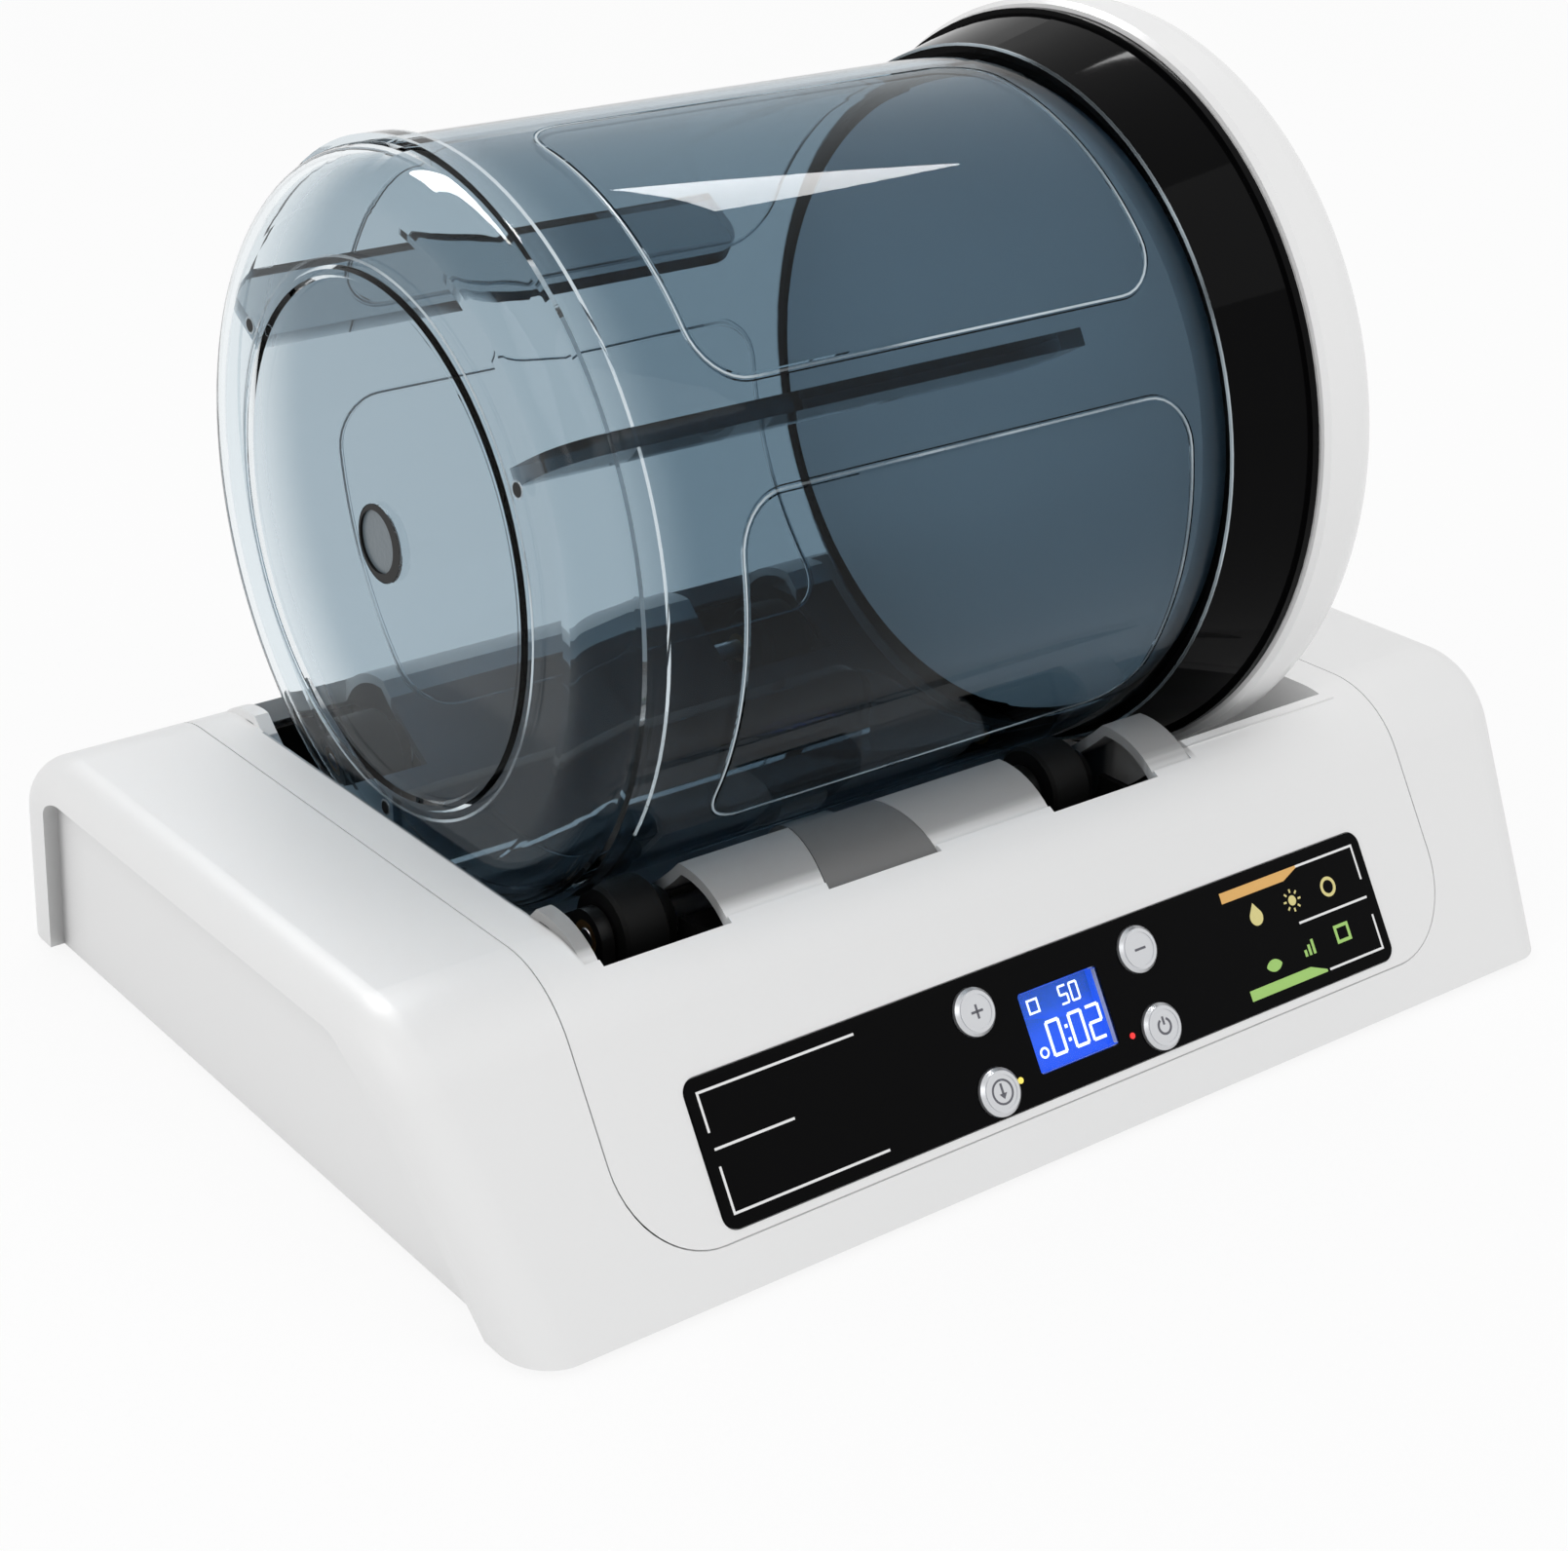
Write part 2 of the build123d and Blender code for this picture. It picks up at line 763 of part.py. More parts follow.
# The grey gear cover: it fills the middle opening of the front bench and arches over the driven gear
with BuildPart() as gear_cover:
    add(trough_skin())
    add(drum_space(), mode=Mode.SUBTRACT)
    split(bisect_by=Plane.XY.offset(deck - bench_cut), keep=Keep.BOTTOM)
    add(bench(-1))
    add(pocket(*gear_pocket, -fit), mode=Mode.INTERSECT)
    half_cover = gear_cover_length / 2
    arch = along_x(gear_cover_radius, gear_x - half_cover, gear_x + half_cover, -roller_spread, roller_z)
    add(arch & trough_skin())
    half_inside = half_cover - gear_cover_wall
    inside = gear_cover_radius - gear_cover_wall
    add(
        along_x(inside, gear_x - half_inside, gear_x + half_inside, -roller_spread, roller_z),
        mode=Mode.SUBTRACT,
    )
write(gear_cover, "gear_cover")


def radial_plane(angle, out=0.0):
    """A plane through or outside the drum, its normal at an angle round the drum from -Y towards +Z."""
    way = (0, -cos(radians(angle)), sin(radians(angle)))
    return Plane(origin=(0, out * way[1], axis_z + out * way[2]), x_dir=(1, 0, 0), z_dir=way)


# The engraved outlines of the drum's panels, as the grooves to cut
with BuildPart() as panel_lines:
    for index in range(panel_count):
        with BuildSketch(radial_plane(panel_first + index * 360 / panel_count, drum_radius / 2)) as outline:
            with Locations((drum_end + panel_start + panel_length / 2, 0)):
                RectangleRounded(panel_length, 2 * drum_radius * sin(radians(panel_span / 2)), panel_corner)
            offset(amount=-panel_line_width, mode=Mode.SUBTRACT)
        extrude(amount=drum_radius)
    with BuildSketch(Plane.YZ.offset(drum_end)):
        with Locations((0, axis_z)):
            Circle(drum_radius + panel_line_depth)
            Circle(drum_radius - panel_line_depth, mode=Mode.SUBTRACT)
    extrude(amount=drum_length, mode=Mode.INTERSECT)

# The smoked clear drum: closed end with a rounded shoulder, bead and dimple, and a band at the shoulder
with BuildPart() as drum_shell:
    with BuildSketch(drum_plane) as wall:
        with BuildLine():
            Polyline(
                (drum_end, 0),
                (drum_end, drum_radius),
                (mouth, drum_radius),
                (mouth, drum_radius - drum_wall),
                (drum_end + drum_wall, drum_radius - drum_wall),
                (drum_end + drum_wall, 0),
                close=True,
            )
        make_face()
        fillet(wall.vertices().sort_by_distance((drum_end, drum_radius))[0], shoulder_radius)
        inner_corner = (drum_end + drum_wall, drum_radius - drum_wall)
        fillet(wall.vertices().sort_by_distance(inner_corner)[0], shoulder_radius - drum_wall)
    revolve(axis=drum_axis)
    with BuildSketch(drum_plane):
        with Locations((drum_end + band_end, drum_radius - drum_wall / 2)):
            Rectangle(band_width, band_height + drum_wall / 2, align=(Align.MAX, Align.MIN))
        with Locations((drum_end - end_bead_height, end_bead_radius)):
            Trapezoid(end_bead_width, 2 * end_bead_height, 60, rotation=90, align=(Align.CENTER, Align.MAX))
    revolve(axis=drum_axis)
    add(along_x(hub_radius, drum_end, drum_end + hub_depth, 0, axis_z), mode=Mode.SUBTRACT)
    add(panel_lines.part, mode=Mode.SUBTRACT)
write(drum_shell, "drum_shell")

# Three lengthwise baffles that lift and drop the meat as the drum turns
with BuildPart() as baffles:
    seat = drum_radius - drum_wall - running
    start = drum_end + drum_wall + running
    for index in range(baffle_count):
        angle = radians(baffle_first + index * 360 / baffle_count)
        across = Plane(
            origin=(0, 0, axis_z),
            x_dir=(1, 0, 0),
            z_dir=(0, -sin(angle), -cos(angle)),
        )
        with BuildSketch(across) as blade:
            with Locations((start, seat)):
                Rectangle(baffle_length, baffle_height, align=(Align.MIN, Align.MAX))
            fillet(blade.vertices().sort_by_distance((start, seat))[0], shoulder_radius - drum_wall)
            inner_end = (start + baffle_length, seat - baffle_height)
            fillet(blade.vertices().sort_by_distance(inner_end)[0], baffle_corner)
        extrude(amount=baffle_thickness / 2, both=True)
write(baffles, "baffles")

# The black collar round the drum's mouth, flared towards a lip
with BuildPart() as mouth_collar:
    with BuildSketch(drum_plane):
        with BuildLine():
            Polyline(
                (collar_start, drum_radius + running),
                (collar_start, drum_radius + collar_low),
                (collar_end - collar_lip, drum_radius + collar_high),
                (collar_end - collar_lip, drum_radius + collar_high + collar_lip_height),
                (collar_end, drum_radius + collar_high + collar_lip_height),
                (collar_end, drum_radius + running),
                close=True,
            )
        make_face()
    revolve(axis=drum_axis)
write(mouth_collar, "mouth_collar")

# The flat rubber ring between the mouth and the lid
with BuildPart() as rim_gasket:
    with BuildSketch(Plane.YZ.offset(gasket_start)):
        with Locations((0, axis_z)):
            Circle(drum_radius - drum_wall + gasket_width)
            Circle(drum_radius - drum_wall, mode=Mode.SUBTRACT)
    extrude(amount=gasket_thickness)
write(rim_gasket, "rim_gasket")

# The bar across the lid's dish that the hand turns
with BuildPart() as grip:
    with BuildSketch(Plane.YZ.offset(lid_end - lid_dish_depth)):
        with Locations((0, axis_z)):
            Rectangle(grip_width, 2 * (lid_dish_radius + lid_dish_draft / 2))
    extrude(amount=grip_height)
    fillet(grip.edges().filter_by(Axis.Z).group_by(Axis.X)[-1], grip_edge)

# The white lid: an open-backed cap with a rounded rim, a dish and the grip across it
with BuildPart() as lid:
    with BuildSketch(drum_plane) as cap:
        skirt = lid_radius - lid_wall
        dish = lid_end - lid_dish_depth
        with BuildLine():
            Polyline(
                (lid_start, skirt),
                (lid_start, lid_radius - lid_chamfer),
                (lid_start + lid_chamfer, lid_radius),
                (lid_end, lid_radius),
                (lid_end, lid_dish_radius + lid_dish_draft),
                (dish, lid_dish_radius),
                (dish, 0),
                (dish - lid_wall, 0),
                (dish - lid_wall, lid_dish_radius),
                (lid_end - lid_wall, lid_dish_radius + lid_dish_draft),
                (lid_end - lid_wall, skirt),
                close=True,
            )
        make_face()
        fillet(cap.vertices().sort_by_distance((lid_end, lid_radius))[0], lid_corner)
        fillet(cap.vertices().sort_by_distance((lid_end - lid_wall, skirt))[0], lid_corner - lid_wall)
    revolve(axis=drum_axis)
    add(grip.part)
    add(along_x(valve_radius + slip, dish - 2 * lid_wall, lid_end, 0, axis_z), mode=Mode.SUBTRACT)
write(lid, "lid")

# The cup that closes the drum's mouth behind the lid
with BuildPart() as lid_plug:
    plug_radius = drum_radius - drum_wall - plug_gap
    plug_start = lid_start - plug_reach
    with BuildSketch(drum_plane):
        with BuildLine():
            Polyline(
                (plug_start, 0),
                (plug_start, plug_radius),
                (lid_start, plug_radius),
                (lid_start, lid_radius - lid_wall - fit),
                (lid_start + plug_wall, lid_radius - lid_wall - fit),
                (lid_start + plug_wall, plug_radius - plug_wall),
                (plug_start + plug_wall, plug_radius - plug_wall),
                (plug_start + plug_wall, 0),
                close=True,
            )
        make_face()
    revolve(axis=drum_axis)
write(lid_plug, "lid_plug")

# The silicone ring round the plug that seals against the drum's inside
with BuildPart() as lid_seal:
    with BuildSketch(Plane.YZ.offset(plug_start + seal_inset)):
        with Locations((0, axis_z)):
            Circle(drum_radius - drum_wall - fit)
            Circle(plug_radius + running, mode=Mode.SUBTRACT)
    extrude(amount=seal_width)
write(lid_seal, "lid_seal")

# The vacuum release valve: its seat through the grip, and the button that slides in it
with BuildPart() as valve_seat:
    seat_back = dish - lid_wall - valve_floor
    add(along_x(valve_flange, seat_back, dish - lid_wall, 0, axis_z))
    add(along_x(valve_radius, seat_back, lid_end, 0, axis_z))
    add(along_x(valve_button_radius + fit, dish - lid_wall, lid_end, 0, axis_z), mode=Mode.SUBTRACT)
write(valve_seat, "valve_seat")

with BuildPart() as valve_button:
    button_back = dish - lid_wall + valve_travel + fit
    add(along_x(valve_button_radius, button_back, lid_end + valve_button_proud, 0, axis_z))
    chamfer(valve_button.edges().group_by(Axis.X)[-1], valve_button_proud / 2)
write(valve_button, "valve_button")

# The black control panel set into the front slope
with BuildPart() as fascia:
    with BuildSketch(fascia_plane.offset(-fascia_recess)):
        RectangleRounded(fascia_width, fascia_height, fascia_corner)
        for name, x, y in controls:
            with Locations((x, y + control_shift)):
                Circle(button_radius + fit, mode=Mode.SUBTRACT)
        with Locations((0, control_shift)):
            RectangleRounded(
                window_width + 2 * fit,
                window_height + 2 * fit,
                window_corner,
                mode=Mode.SUBTRACT,
            )
    extrude(amount=fascia_thickness)
write(fascia, "fascia")

fascia_front = fascia_thickness - fascia_recess
flange_front = -case_wall - fit
flange_back = flange_front - button_flange_thickness
for name, x, y in controls:
    with BuildPart() as button:
        with BuildSketch(fascia_plane.offset(flange_back)):
            with Locations((x, y + control_shift)):
                Circle(button_radius + button_flange)
        extrude(amount=button_flange_thickness)
        with BuildSketch(fascia_plane.offset(flange_front)):
            with Locations((x, y + control_shift)):
                Circle(button_radius)
        extrude(amount=fascia_front + button_proud - flange_front)
        rim = button.faces().sort_by(Axis((0, 0, 0), fascia_plane.z_dir))[-1].edges()
        chamfer(rim, button_proud / 2)
    write(button, name)

# The clear window over the display
with BuildPart() as display_window:
    with BuildSketch(fascia_plane.offset(flange_front)):
        with Locations((0, control_shift)):
            RectangleRounded(window_width, window_height, window_corner)
    extrude(amount=fascia_front - flange_front)
write(display_window, "display_window")

# The display behind the window, on the control board
with BuildPart() as display_module:
    with BuildSketch(fascia_plane.offset(-board_gap)):
        with Locations((0, control_shift)):
            Rectangle(display_width, display_height)
    extrude(amount=board_gap + flange_front)
write(display_module, "display_module")

# The control board behind the console, seated on the cover's standoffs
with BuildPart() as control_board:
    with BuildSketch(fascia_plane.offset(-board_gap - board_thickness)):
        Rectangle(board_width, board_height)
    extrude(amount=board_thickness)
write(control_board, "control_board")

# One tactile switch behind each button, with room for the button's travel
with BuildPart() as switches:
    with BuildSketch(fascia_plane.offset(-board_gap)):
        for name, x, y in controls:
            with Locations((x, y + control_shift)):
                Rectangle(switch_size, switch_size)
    extrude(amount=board_gap + flange_back - button_travel - fit)
write(switches, "switches")

port_plane = slope_plane(port_rise, 1, port_x)
inlet_plane = slope_plane(port_rise, 1, inlet_x)

# The hose nipple on the rear slope, with a barb inside for the air tube
with BuildPart() as vacuum_port:
    with BuildSketch(port_plane):
        Circle(port_flange)
    extrude(amount=flange_thickness)
    with BuildSketch(port_plane):
        Circle(port_radius)
    extrude(amount=flange_thickness + port_length)
    with BuildSketch(port_plane):
        Circle(port_radius)
    extrude(amount=-port_inner_length)
    with BuildSketch(port_plane.offset(-port_inner_length)):
        Circle(port_bore)
    extrude(amount=port_inner_length + flange_thickness + port_length, mode=Mode.SUBTRACT)
write(vacuum_port, "vacuum_port")

# The rubber air tube from the nipple's barb straight to the pump's head
with BuildPart() as air_tube:
    with BuildSketch(port_plane.offset(-tube_start)):
        Circle(port_radius + tube_wall + running)
        Circle(port_radius + running, mode=Mode.SUBTRACT)
    extrude(amount=-pump_head_size - port_inner_length)
    split(bisect_by=Plane.XZ.offset(-pump_y - pump_head_size / 2), keep=Keep.BOTTOM)
write(air_tube, "air_tube")

# The round power socket on the rear slope, with its centre pin
with BuildPart() as power_inlet:
    with BuildSketch(inlet_plane):
        Circle(inlet_flange)
    extrude(amount=flange_thickness)
    with BuildSketch(inlet_plane.offset(-inlet_length)):
        Circle(inlet_radius)
    extrude(amount=inlet_length)
    with BuildSketch(inlet_plane.offset(-inlet_depth)):
        Circle(inlet_bore)
        Circle(inlet_pin, mode=Mode.SUBTRACT)
    extrude(amount=inlet_depth + flange_thickness, mode=Mode.SUBTRACT)
write(power_inlet, "power_inlet")

# The vacuum pump: its motor can and square head
with BuildPart() as vacuum_pump:
    add(along_x(pump_radius, pump_start, pump_head_start, pump_y, pump_z))
write(vacuum_pump, "vacuum_pump")

with BuildPart() as pump_head:
    with BuildSketch(Plane.YZ.offset(pump_head_start)):
        with Locations((pump_y, pump_z)):
            RectangleRounded(pump_head_size, pump_head_size, pump_head_edge)
    extrude(amount=pump_head_length)
write(pump_head, "pump_head")

# The plastic cradle under the pump, with two hollowed ribs
with BuildPart() as pump_cradle:
    with BuildSketch(Plane.XY.offset(plate_top)):
        with Locations((pump_start, pump_y)):
            Rectangle(
                pump_length + pump_head_length,
                pump_head_size,
                align=(Align.MIN, Align.CENTER),
            )
    extrude(amount=cradle_base)
    for rib in (cradle_first, cradle_second):
        with BuildSketch(Plane.YZ.offset(pump_start + rib)):
            with Locations((pump_y, plate_top)):
                Rectangle(pump_head_size, pump_z - plate_top, align=(Align.CENTER, Align.MIN))
        extrude(amount=cradle_wall)
    add(
        along_x(pump_radius + running, pump_start, pump_head_start, pump_y, pump_z),
        mode=Mode.SUBTRACT,
    )
write(pump_cradle, "pump_cradle")

# The power board on four posts, with its transformer and capacitor
with BuildPart() as power_board:
    board_low = plate_top + power_board_lift
    with BuildSketch(Plane.XY.offset(board_low)):
        with Locations((power_board_x, power_board_y)):
            Rectangle(power_board_width, power_board_depth)
    extrude(amount=board_thickness)
    with BuildSketch(Plane.XY.offset(board_low + board_thickness)):
        with Locations((power_board_x + transformer_x, power_board_y)):
            Rectangle(transformer_width, transformer_depth)
    extrude(amount=transformer_height)
    with BuildSketch(Plane.XY.offset(board_low + board_thickness)):
        with Locations((power_board_x + capacitor_x, power_board_y)):
            Circle(capacitor_radius)
    extrude(amount=capacitor_height)
write(power_board, "power_board")
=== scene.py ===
import json
import math

import bmesh
import bpy
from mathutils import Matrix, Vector


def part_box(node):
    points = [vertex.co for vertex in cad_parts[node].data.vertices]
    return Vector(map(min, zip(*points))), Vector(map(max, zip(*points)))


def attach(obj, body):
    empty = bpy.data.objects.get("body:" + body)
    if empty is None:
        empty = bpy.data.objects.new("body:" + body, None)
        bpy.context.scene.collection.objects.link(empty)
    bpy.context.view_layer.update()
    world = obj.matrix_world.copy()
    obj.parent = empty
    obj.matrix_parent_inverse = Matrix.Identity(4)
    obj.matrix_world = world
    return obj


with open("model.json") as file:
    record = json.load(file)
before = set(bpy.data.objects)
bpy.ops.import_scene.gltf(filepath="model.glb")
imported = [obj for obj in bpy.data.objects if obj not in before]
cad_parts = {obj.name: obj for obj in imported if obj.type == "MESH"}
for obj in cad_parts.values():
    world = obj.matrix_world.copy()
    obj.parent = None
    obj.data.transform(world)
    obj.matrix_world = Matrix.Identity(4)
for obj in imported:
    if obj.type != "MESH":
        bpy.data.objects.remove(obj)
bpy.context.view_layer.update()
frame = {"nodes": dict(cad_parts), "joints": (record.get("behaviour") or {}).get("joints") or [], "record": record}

# Sizes are in millimetres, as in the model, and MM turns them into metres
MM = 0.001

nodes = frame["nodes"]
joints = {joint["name"]: joint for joint in frame["joints"]}
slots = {row["node"]: row["material_slot"] for row in frame["record"]["subparts"]}
drum_centre = Vector(joints["drum_spin"]["pos_m"])


# What the materials share
GRAIN_DETAIL = 3.0
GRAIN_DEPTH = 0.4 * MM
GLOSS_SCALE = 14.0
LIT_ROUGHNESS = 0.25


def new_material(name):
    """An empty node material, with its tree and its output node."""
    material = bpy.data.materials.new(name)
    material.use_nodes = True
    tree = material.node_tree
    tree.nodes.clear()
    output = tree.nodes.new("ShaderNodeOutputMaterial")
    return material, tree, output


def surface(name, colour, roughness, grain=900.0, bump=0.02, vary=0.05, **sockets):
    """A moulded or metal surface: fine grain in its bump, and slow changes in its roughness."""
    material, tree, output = new_material(name)
    shader = tree.nodes.new("ShaderNodeBsdfPrincipled")
    shader.inputs["Base Color"].default_value = (*colour, 1.0)
    for socket, value in sockets.items():
        shader.inputs[socket].default_value = value
    place = tree.nodes.new("ShaderNodeTexCoord")
    fine = tree.nodes.new("ShaderNodeTexNoise")
    fine.inputs["Scale"].default_value = grain
    fine.inputs["Detail"].default_value = GRAIN_DETAIL
    slow = tree.nodes.new("ShaderNodeTexNoise")
    slow.inputs["Scale"].default_value = GLOSS_SCALE
    spread = tree.nodes.new("ShaderNodeMapRange")
    spread.inputs["To Min"].default_value = max(0.0, roughness - vary)
    spread.inputs["To Max"].default_value = roughness + vary
    relief = tree.nodes.new("ShaderNodeBump")
    relief.inputs["Strength"].default_value = bump
    relief.inputs["Distance"].default_value = GRAIN_DEPTH
    tree.links.new(place.outputs["Object"], fine.inputs["Vector"])
    tree.links.new(place.outputs["Object"], slow.inputs["Vector"])
    tree.links.new(slow.outputs["Fac"], spread.inputs["Value"])
    tree.links.new(spread.outputs["Result"], shader.inputs["Roughness"])
    tree.links.new(fine.outputs["Fac"], relief.inputs["Height"])
    tree.links.new(relief.outputs["Normal"], shader.inputs["Normal"])
    tree.links.new(shader.outputs["BSDF"], output.inputs["Surface"])
    return material


def glowing(name, colour, strength):
    """A small lit area, such as a display or a lamp, under a glossy face."""
    glow = {"Emission Color": (*colour, 1.0), "Emission Strength": strength}
    return surface(name, colour, LIT_ROUGHNESS, **glow)


def ramp(tree, source, start, end, least=0.0):
    """A smooth factor that goes from its least at one value of the source to 1 at another."""
    step = tree.nodes.new("ShaderNodeMapRange")
    step.interpolation_type = "SMOOTHSTEP"
    step.inputs["From Min"].default_value = start
    step.inputs["From Max"].default_value = end
    step.inputs["To Min"].default_value = least
    tree.links.new(source, step.inputs["Value"])
    return step.outputs["Result"]


def math_node(tree, operation, first, second):
    """One arithmetic node on two sockets."""
    node = tree.nodes.new("ShaderNodeMath")
    node.operation = operation
    tree.links.new(first, node.inputs[0])
    tree.links.new(second, node.inputs[1])
    return node.outputs[0]


def both(tree, first, second):
    """A factor that is 1 only where two factors are."""
    return math_node(tree, "MULTIPLY", first, second)


def shader_and_place(material):
    """A material's main shader and its coordinates node."""
    found = {node.type: node for node in material.node_tree.nodes}
    return found["BSDF_PRINCIPLED"], found["TEX_COORD"]


def place_parts(tree, place):
    """The X, Y and Z of a place on the object, as sockets."""
    parts = tree.nodes.new("ShaderNodeSeparateXYZ")
    tree.links.new(place.outputs["Object"], parts.inputs[0])
    return parts.outputs


def lay_colours(tree, shader, layers):
    """Lay colours over the base colour of a shader, each by its own factor."""
    below = None
    for colour, factor in layers:
        mix = tree.nodes.new("ShaderNodeMixRGB")
        mix.inputs["Color1"].default_value = shader.inputs["Base Color"].default_value
        mix.inputs["Color2"].default_value = (*colour, 1.0)
        if below is not None:
            tree.links.new(below, mix.inputs["Color1"])
        tree.links.new(factor, mix.inputs["Fac"])
        below = mix.outputs["Color"]
    tree.links.new(below, shader.inputs["Base Color"])


# Where the painted shade on the cover's front bench and the darker painted shade in its trough begin, in metres
TROUGH_START = -136 * MM
TROUGH_MIDDLE = -20 * MM
TROUGH_END = 77 * MM
TROUGH_FADE = 1 * MM
TROUGH_FRONT = -72 * MM
TROUGH_REAR = 72 * MM
BENCH_FRONT = -101 * MM
BENCH_FADE = 7 * MM
STREAK_REACH = 3 * MM
STREAK_SCALE = (6.0, 260.0, 40.0)


def streak_shift(tree, place):
    """A small shift across the cover that changes slowly along X, so that the edges of the painted shade turn into
    streaks.
    """
    stretch = tree.nodes.new("ShaderNodeMapping")
    stretch.inputs["Scale"].default_value = STREAK_SCALE
    streaks = tree.nodes.new("ShaderNodeTexNoise")
    streaks.inputs["Scale"].default_value = 1.0
    wander = tree.nodes.new("ShaderNodeMapRange")
    wander.inputs["To Min"].default_value = -STREAK_REACH
    wander.inputs["To Max"].default_value = STREAK_REACH
    tree.links.new(place.outputs["Object"], stretch.inputs["Vector"])
    tree.links.new(stretch.outputs["Vector"], streaks.inputs["Vector"])
    tree.links.new(streaks.outputs["Fac"], wander.inputs["Value"])
    return wander.outputs["Result"]


def shade_trough(material, bench_shade_colour, trough_shade_colour, end_colour):
    """Paint shade on the cover: grey painted shade and reflection of the dark drum on its front bench, and dark
    painted shade in the trough, less dark at the rear left.
    """
    tree = material.node_tree
    shader, place = shader_and_place(material)
    parts = place_parts(tree, place)
    across = math_node(tree, "ADD", parts["Y"], streak_shift(tree, place))
    inside = both(
        tree,
        ramp(tree, parts["X"], TROUGH_START - TROUGH_FADE, TROUGH_START),
        ramp(tree, parts["X"], TROUGH_END + TROUGH_FADE, TROUGH_END),
    )
    before_rear = both(tree, inside, ramp(tree, across, TROUGH_REAR + TROUGH_FADE, TROUGH_REAR))
    bench = both(tree, before_rear, ramp(tree, across, BENCH_FRONT, BENCH_FRONT + BENCH_FADE))
    trough = both(tree, before_rear, ramp(tree, across, TROUGH_FRONT, TROUGH_FRONT + BENCH_FADE))
    rear_left = both(
        tree,
        ramp(tree, parts["X"], TROUGH_MIDDLE, TROUGH_START),
        ramp(tree, parts["Y"], 0.0, TROUGH_REAR),
    )
    # Painted shade under the drum: grey on the bench, dark in the trough, lighter at the trough's rear left
    layers = [
        (bench_shade_colour, bench),
        (trough_shade_colour, trough),
        (end_colour, both(tree, trough, rear_left)),
    ]
    lay_colours(tree, shader, layers)
    return material


# How near the walls of a crease are, and how open a place is where its painted shade begins and is full
CREASE_REACH = 16 * MM
CREASE_BEGINS = 1.0
CREASE_FULL = 0.6
CREASE_SAMPLES = 8


def shade_creases(material, crease_shade_colour):
    """Paint shade softly into a moulding's inner corners, such as the edge of a recess, by ambient occlusion."""
    tree = material.node_tree
    shader, _ = shader_and_place(material)
    corner = tree.nodes.new("ShaderNodeAmbientOcclusion")
    corner.only_local = True
    corner.samples = CREASE_SAMPLES
    corner.inputs["Distance"].default_value = CREASE_REACH
    shade = ramp(tree, corner.outputs["AO"], CREASE_BEGINS, CREASE_FULL)
    # Painted shade: the crease colour is laid where ambient occlusion finds the moulding closed in
    lay_colours(tree, shader, [(crease_shade_colour, shade)])
    return material


# Where the drum's tint is full, and where it has faded most, in metres
TINT_FULL = -98 * MM
TINT_LEAST = -124 * MM


def clear_end(material, end_colour):
    """Let the drum's tint fade towards its closed end."""
    tree = material.node_tree
    shader, place = shader_and_place(material)
    along = place_parts(tree, place)["X"]
    lay_colours(tree, shader, [(end_colour, ramp(tree, along, TINT_FULL, TINT_LEAST))])
    return material


def darken_with_depth(material, colour, density):
    """Let a clear material swallow light along its depth, so that a rib is dark when seen along it."""
    tree = material.node_tree
    depth = tree.nodes.new("ShaderNodeVolumeAbsorption")
    depth.inputs["Color"].default_value = (*colour, 1.0)
    depth.inputs["Density"].default_value = density
    output = next(node for node in tree.nodes if node.type == "OUTPUT_MATERIAL")
    tree.links.new(depth.outputs[0], output.inputs["Volume"])
    return material


# The values of the noise at which a painted highlight line is faintest and full
LINE_FAINT = 0.4
LINE_FULL = 0.62


def come_and_go(material, scale, least):
    """Let a thin painted highlight line come and go along its length."""
    tree = material.node_tree
    shader, place = shader_and_place(material)
    patches = tree.nodes.new("ShaderNodeTexNoise")
    patches.inputs["Scale"].default_value = scale
    tree.links.new(place.outputs["Object"], patches.inputs["Vector"])
    seen = ramp(tree, patches.outputs["Fac"], LINE_FAINT, LINE_FULL, least)
    tree.links.new(seen, shader.inputs["Alpha"])
    return material


WHITE = (0.8, 0.8, 0.8)
LID_WHITE = (0.82, 0.82, 0.82)
# Painted shade for the creases
PAINTED_CREASE_SHADE = (0.4, 0.4, 0.4)
# Painted shade for the cover: grey on the front bench, dark in the trough, and lighter at the trough's rear left
PAINTED_BENCH_SHADE = (0.3, 0.3, 0.3)
PAINTED_TROUGH_SHADE = (0.03, 0.04, 0.05)
PAINTED_TROUGH_LEFT_SHADE = (0.3, 0.35, 0.39)
DRUM_SMOKE = (0.35, 0.44, 0.5)
DRUM_CLEAR = (0.88, 0.92, 0.94)
RIB_CLEAR = (0.9, 0.93, 0.95)
RIB_SMOKE = (0.2, 0.3, 0.36)
RIB_DENSITY = 160.0
DEEP_BLACK = (0.002, 0.002, 0.0022)

SMOOTH = {"bump": 0.008, "vary": 0.02}
POLISHED = {"bump": 0.004, "vary": 0.01, "Specular IOR Level": 0.04}
DULL = {"Specular IOR Level": 0.15}
METAL = {"Metallic": 1.0}
CLEAR = {"Transmission Weight": 1.0, "IOR": 1.2}
THIN_GLASS = {"Transmission Weight": 1.0, "IOR": 1.1}

